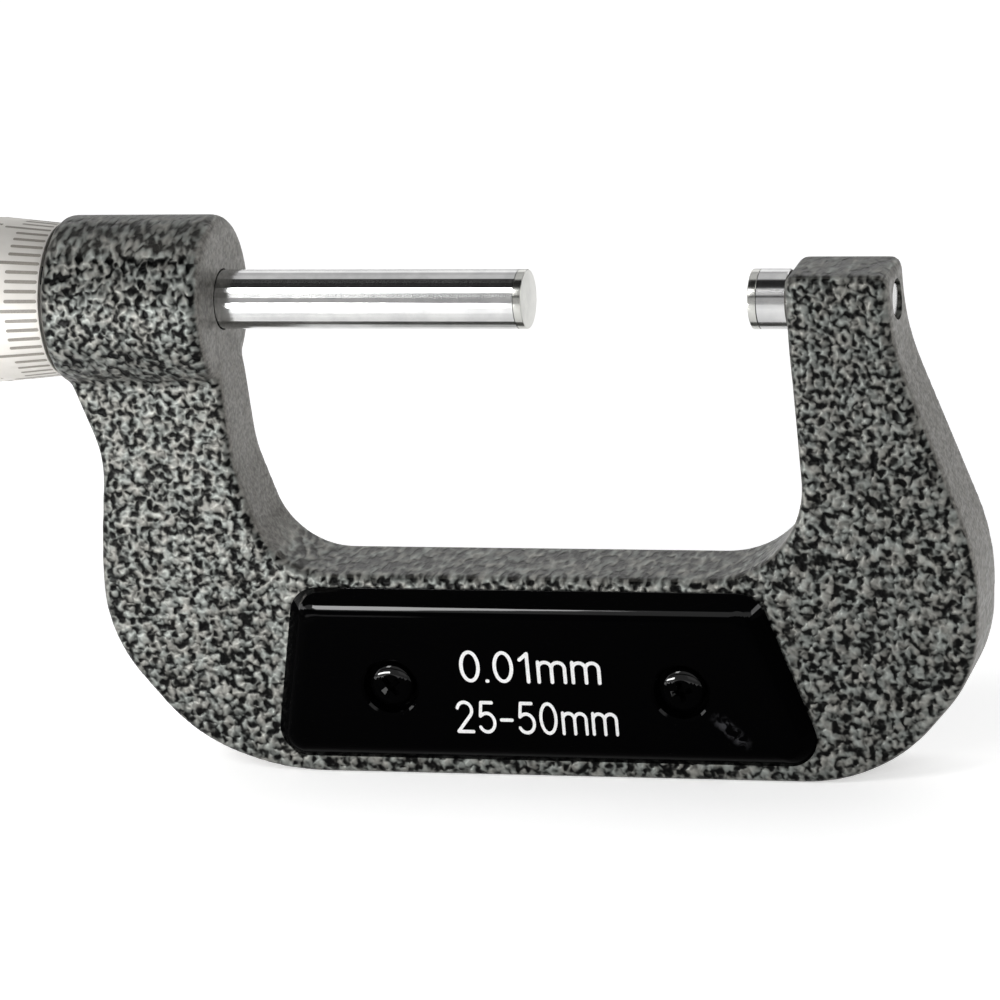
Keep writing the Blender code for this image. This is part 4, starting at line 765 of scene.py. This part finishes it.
class Marks:
    """Collects flat strokes that are laid on a surface. place turns (along, up, lift) into a point over it.
    Each stroke lies a hair above the last, so that strokes that cross don't share a plane."""

    def __init__(self):
        self.points = []
        self.faces = []
        self.layer = 0

    def stroke(self, path, width, place):
        """A ribbon with round ends along a path of (along, up) points."""
        self.layer = (self.layer + 1) % MARK_LAYERS
        path = [Vector(point) for point in path]
        half = width / 2
        sides = []
        for index, point in enumerate(path):
            before = path[max(0, index - 1)]
            after = path[min(len(path) - 1, index + 1)]
            ahead = (after - before).normalized()
            sides.append((point, Vector((-ahead.y, ahead.x)) * half, ahead * half))
        outline = [point + side for point, side, ahead in sides]
        under = [point - side for point, side, ahead in sides]
        for index in range(len(path) - 1):
            self.face((outline[index], outline[index + 1], under[index + 1], under[index]), place)
        closed = (path[0] - path[-1]).length < 1e-9
        if not closed:
            for (point, side, ahead), way in ((sides[0], -1), (sides[-1], 1)):
                cap = [point + side * cos(radians(turn)) + ahead * way * sin(radians(turn))
                       for turn in range(0, 181, 30)]
                self.face(cap, place)

    def face(self, corners, place):
        first = len(self.points)
        lift = self.layer * MARK_LAYER_STEP
        self.points += [place(corner[0], corner[1], lift) for corner in corners]
        self.faces.append(tuple(range(first, len(self.points))))

    def text(self, words, height, width, place):
        """Words from (0, 0) rightwards, in strokes of the given width."""
        pen = 0.0
        for letter in words:
            letter_width, strokes = GLYPHS[letter]
            for path in strokes:
                self.stroke([((pen + x) * height, y * height) for x, y in path], width, place)
            pen += letter_width + GLYPH_GAP

    def made(self, name, look, body, slot):
        piece = mesh_object(name, self.points, self.faces, look)
        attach(piece, body)


def words_length(words, height):
    return (sum(GLYPHS[letter][0] + GLYPH_GAP for letter in words) - GLYPH_GAP) * height


def on_round(radius_at, x_start, angle):
    """Places (along, up) on a round piece. along runs away from the anvil, up towards the next division."""
    def place(along, up, lift=0.0):
        x = x_start - along
        radius = radius_at(x) + lift
        turn = angle - up / radius
        return (x, -radius * cos(turn), radius * sin(turn))
    return place


def thimble_radius(x):
    """Radius of the thimble's bevel or side, with the marks' thickness."""
    share = min(1.0, max(0.0, (THIMBLE_EDGE_X - x) / BEVEL_LENGTH))
    return THIMBLE_EDGE_RADIUS + (THIMBLE_RADIUS - THIMBLE_EDGE_RADIUS) * share + MARK_LIFT


def make_thimble(chrome):
    """The tube with its bevelled edge, diamond grip, groove and rounded rear."""
    knurl_pitch = 2 * pi * THIMBLE_RADIUS / KNURL_COUNT

    def knurl(x, angle):
        if not GRIP_REAR_X + 0.05 * MM < x < GRIP_FRONT_X - 0.05 * MM:
            return 0.0
        along = (x - GRIP_REAR_X) / knurl_pitch
        around = angle / (2 * pi) * KNURL_COUNT
        first = abs((along + around) % 1.0 - 0.5) * 2
        second = abs((along - around) % 1.0 - 0.5) * 2
        return -KNURL_DEPTH * max(first, second) ** 1.5

    bevel_end = THIMBLE_EDGE_X - BEVEL_LENGTH
    edge_round = 0.15 * MM
    groove_end = GRIP_FRONT_X + GROOVE_WIDTH
    groove = THIMBLE_RADIUS - GROOVE_DEPTH
    bore = SLEEVE_RADIUS + 0.3 * MM
    profile = [
        (THIMBLE_EDGE_X, bore), (THIMBLE_EDGE_X, THIMBLE_EDGE_RADIUS - edge_round),
        (THIMBLE_EDGE_X - 0.04 * MM, THIMBLE_EDGE_RADIUS - 0.04 * MM),
        (THIMBLE_EDGE_X - edge_round, THIMBLE_EDGE_RADIUS + 0.015 * MM),
        (bevel_end + 0.1 * MM, THIMBLE_RADIUS - 0.01 * MM), (bevel_end - 0.1 * MM, THIMBLE_RADIUS),
        (groove_end + edge_round, THIMBLE_RADIUS), (groove_end, THIMBLE_RADIUS - edge_round),
        (groove_end, groove), (GRIP_FRONT_X, groove), (GRIP_FRONT_X, THIMBLE_RADIUS - edge_round),
        (GRIP_FRONT_X - edge_round, THIMBLE_RADIUS)]
    step_count = 96
    for step in range(1, step_count):
        profile.append((GRIP_FRONT_X + (GRIP_REAR_X - GRIP_FRONT_X) * step / step_count, THIMBLE_RADIUS))
    profile.append((GRIP_REAR_X, THIMBLE_RADIUS))
    rear_length = GRIP_REAR_X - THIMBLE_END_X - THIMBLE_REAR_LIP
    rear_drop = THIMBLE_RADIUS - THIMBLE_REAR_RADIUS
    for step in range(13):
        turn = pi / 2 * step / 12
        profile.append((
            THIMBLE_END_X + THIMBLE_REAR_LIP + rear_length * (1 - sin(turn)),
            THIMBLE_REAR_RADIUS + rear_drop * cos(turn)))
    profile += [
        (THIMBLE_END_X, THIMBLE_REAR_RADIUS - 0.3 * MM), (THIMBLE_END_X, 2.9 * MM),
        (THIMBLE_END_X + 4 * MM, 3.35 * MM), (THIMBLE_END_X + 4 * MM, bore)]
    thimble = lathe("thimble_shell", profile, chrome, steps=288, relief=knurl)
    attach(thimble, "spindle_body")
    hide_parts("thimble")


def make_thimble_divisions(grey):
    """Fifty lines round the bevel. Every fifth is longer and has its number."""
    marks = Marks()
    start = 0.35 * MM
    steps = 6
    for division in range(DIVISIONS):
        angle = DATUM_ANGLE - 2 * pi * division / DIVISIONS
        length = (4.9 if division % 5 == 0 else 3.3) * MM
        place = on_round(thimble_radius, THIMBLE_EDGE_X - start, angle)
        marks.stroke([(length * step / steps, 0.0) for step in range(steps + 1)], DIVISION_WIDTH, place)
        if division % 5 == 0:
            number_x = THIMBLE_EDGE_X - start - length - 0.7 * MM

            def number_place(along, up, lift, place=on_round(thimble_radius, number_x, angle)):
                return place(along, up - DIVISION_NUMBER_HEIGHT / 2, lift)
            marks.text(str(division), DIVISION_NUMBER_HEIGHT, DIVISION_NUMBER_STROKE, number_place)
    marks.made("thimble_divisions", grey, "spindle_body", "satin_chrome")


def make_sleeve_scale(black):
    """Datum line, millimetres above it, half millimetres below it, and a number at every fifth line."""
    marks = Marks()

    def sleeve_radius(x):
        return SLEEVE_RADIUS + MARK_LIFT

    place = on_round(sleeve_radius, THIMBLE_EDGE_X, DATUM_ANGLE)
    marks.stroke([(step * 0.5 * MM, 0.0) for step in range(53)], 0.14 * MM, place)
    for millimetre in range(26):
        length = (2.0 if millimetre % 5 == 0 else 1.3) * MM
        marks.stroke([(millimetre * MM, length * step / 4) for step in range(5)], SCALE_WIDTH, place)
        if millimetre < 25:
            half_way = (millimetre + 0.5) * MM
            marks.stroke([(half_way, -1.3 * MM * step / 4) for step in range(5)], SCALE_WIDTH, place)
        if millimetre % 5 == 0:
            words = str(25 + millimetre)
            offset = millimetre * MM - words_length(words, SCALE_NUMBER_HEIGHT) / 2

            def number_place(along, up, lift, offset=offset):
                return place(along + offset, up + 2.5 * MM, lift)
            marks.text(words, SCALE_NUMBER_HEIGHT, SCALE_NUMBER_STROKE, number_place)
    marks.made("sleeve_scale", black, "frame_body", "satin_chrome")


def make_plate_words(white):
    marks = Marks()
    stroke = PLATE_WORDS_STROKE
    for words, left, right, low, high in PLATE_WORDS:
        height = (high - low) * MM - stroke
        squeeze = ((right - left) * MM - stroke) / words_length(words, height)

        def place(along, up, lift, left=left, low=low, squeeze=squeeze):
            x = left * MM + stroke / 2 + along * squeeze
            return (x, -PLATE_FACE_Y - PLATE_WORDS_LIFT - lift, low * MM + stroke / 2 + up)
        marks.text(words, height, stroke, place)
    marks.made("plate_words", white, "frame_body", "plate_plastic")


def give(look, *names):
    for name in names:
        mesh = nodes[name].data
        mesh.materials.clear()
        mesh.materials.append(look)


def area_light(name, place, aim, width, height, power):
    data = bpy.data.lights.new(name, "AREA")
    data.shape = "RECTANGLE"
    data.size = width
    data.size_y = height
    data.energy = power
    lamp = bpy.data.objects.new(name, data)
    bpy.context.scene.collection.objects.link(lamp)
    lamp.location = place
    lamp.visible_camera = False
    lamp.rotation_euler = (Vector(aim) - Vector(place)).to_track_quat("-Z", "Y").to_euler()


FLOOR_HALF = 2.0
FLOOR_DROP = 0.02 * MM
FLOOR_GLOW = 0.45


def make_floor():
    """A white floor that metal shows as white too."""
    graph = Graph("floor_paint")
    paths = graph.node("LightPath", {}).outputs
    seen = graph.math("MAXIMUM", paths["Is Camera Ray"], paths["Is Glossy Ray"])
    seen = graph.math("MAXIMUM", seen, paths["Is Transmission Ray"])
    graph.set(
        Base_Color=rgb(0.92, 0.92, 0.92), Roughness=1.0, Specular_IOR_Level=0.0,
        Emission_Color=rgb(1, 1, 1), Emission_Strength=graph.math("MULTIPLY", seen, FLOOR_GLOW))
    half = FLOOR_HALF
    z = cad_low.z - FLOOR_DROP
    floor = mesh_object(
        "studio_floor", [(-half, -half, z), (half, -half, z), (half, half, z), (-half, half, z)],
        [(0, 1, 2, 3)], graph.material)


# The room's brightness round the spindle's axis, from the front (0) over the ceiling (0.5) to the back (1)
ROOM_TONES = (
    (0.00, 0.52), (0.122, 0.52), (0.136, 0.02), (0.166, 0.02), (0.186, 0.62), (0.318, 0.62), (0.332, 0.02),
    (0.530, 0.02), (0.552, 0.85), (0.72, 0.75), (0.84, 0.30), (1.00, 0.30))


def make_world():
    """A plain room: pale walls with dark gaps between them, and a dark ceiling."""
    world = bpy.data.worlds.new("room")
    world.use_nodes = True
    tree = world.node_tree
    tree.nodes.clear()

    def node(kind, source=None, **settings):
        made = tree.nodes.new("ShaderNode" + kind)
        for name, value in settings.items():
            setattr(made, name, value)
        if source:
            tree.links.new(source, made.inputs[0])
        return made

    parts = node("SeparateXYZ", node("TexCoord").outputs["Generated"]).outputs
    forward = node("Math", parts["Y"], operation="MULTIPLY")
    forward.inputs[1].default_value = -1.0
    height = node("Math", parts["Z"], operation="MAXIMUM")
    height.inputs[1].default_value = 0.0
    angle = node("Math", height.outputs[0], operation="ARCTAN2")
    tree.links.new(forward.outputs[0], angle.inputs[1])
    share = node("Math", angle.outputs[0], operation="DIVIDE")
    share.inputs[1].default_value = pi
    ramp = node("ValToRGB", share.outputs[0])
    elements = ramp.color_ramp.elements
    while len(elements) < len(ROOM_TONES):
        elements.new(0.5)
    for element, (position, level) in zip(elements, ROOM_TONES):
        element.position = position
        element.color = rgb(level, level, level)
    background = node("Background", ramp.outputs["Color"])
    node("OutputWorld", background.outputs["Background"])
    bpy.context.scene.world = world


# Name, place, point that it faces, width and height in metres, power in watts
LAMPS = (
    ("low_front", (-0.155, -0.165, -0.0225), (-0.155, 0, -0.0225), 0.13, 0.020, 0.30),
    ("high_front", (-0.228, -0.330, 0.330), (-0.05, 0, -0.01), 0.11, 0.17, 0.58),
    ("front", (0.25, -0.80, 0.20), (-0.03, 0, -0.02), 0.5, 0.25, 0.15),
    ("left", (-0.75, -0.20, 0.15), (-0.03, 0, -0.02), 0.5, 0.3, 0.80),
    ("right", (0.70, -0.10, 0.25), (-0.01, 0, -0.02), 0.35, 0.4, 1.1),
    ("back", (-0.05, 0.75, 0.30), (-0.03, 0, -0.02), 1.2, 0.4, 1.5))


def make_camera():
    a, e, roll = VIEW_AZIMUTH, VIEW_ELEVATION, VIEW_ROLL
    back = Vector((sin(a) * cos(e), -cos(a) * cos(e), sin(e)))
    level_right = Vector((cos(a), sin(a), 0))
    level_up = Vector((-sin(a) * sin(e), cos(a) * sin(e), cos(e)))
    right = level_right * cos(roll) - level_up * sin(roll)
    up = level_right * sin(roll) + level_up * cos(roll)
    data = bpy.data.cameras.new("camera")
    data.lens = LENS
    data.sensor_width = 36
    data.clip_start = 0.01
    camera = bpy.data.objects.new("camera", data)
    bpy.context.scene.collection.objects.link(camera)
    place = VIEW_TARGET + back * VIEW_DISTANCE
    camera.matrix_world = Matrix.Translation(place) @ Matrix((right, up, back)).transposed().to_4x4()
    bpy.context.scene.camera = camera


def main():
    paint = hammertone_paint()
    plastic = moulded_plastic("black_satin_plastic", 0.10, 1.04)
    gloss = moulded_plastic("black_gloss_plastic", 0.05, 1.44)
    steel = turned_metal("ground_steel", rgb(0.62, 0.62, 0.615), rgb(0.54, 0.54, 0.54), 0.15, 0.004 * MM)
    carbide = turned_metal("carbide", rgb(0.58, 0.58, 0.55), rgb(0.50, 0.50, 0.475), 0.17, 0.004 * MM)
    inner = turned_metal("turned_steel", rgb(0.42, 0.42, 0.42), rgb(0.34, 0.34, 0.34), 0.30, 0.010 * MM, 4.0)
    chrome = satin_chrome()
    knob_chrome = bright_chrome()
    black = black_steel()
    dark_ink = ink("black_filling", rgb(0.02, 0.02, 0.02))
    grey_ink = ink("grey_filling", rgb(0.21, 0.195, 0.17))
    white_ink = ink("white_print", rgb(0.74, 0.74, 0.74))

    make_casting(paint)
    for side_name, side in (("front", -1), ("rear", 1)):
        make_plate("plate_" + side_name, "cover_plate_" + side_name, side, plastic, gloss)
        for place, x, turned_by in (("left", SCREW_X[0], radians(38)), ("right", SCREW_X[1], radians(12))):
            make_plate_screw(
                "screw_%s_%s" % (side_name, place), "plate_screw_%s_%s" % (side_name, place), side, x,
                turned_by, plastic, gloss)
    make_rods(steel, carbide)
    make_thimble(chrome)
    make_thimble_divisions(grey_ink)
    make_sleeve_scale(dark_ink)
    make_plate_words(white_ink)
    give(steel, "spindle")
    give(chrome, "graduated_sleeve", "lock_lever")
    give(inner, "inner_sleeve", "adjusting_nut", "ratchet_bolt", "ratchet_disc", "lock_shaft")
    give(inner, "ratchet_spring")
    give(knob_chrome, "ratchet_knob")
    give(black, "knob_washer", "knob_screw", "lock_screw")
    make_floor()
    make_world()
    for lamp in LAMPS:
        area_light(*lamp)
    make_camera()
    bpy.context.scene.view_settings.view_transform = "Standard"


main()
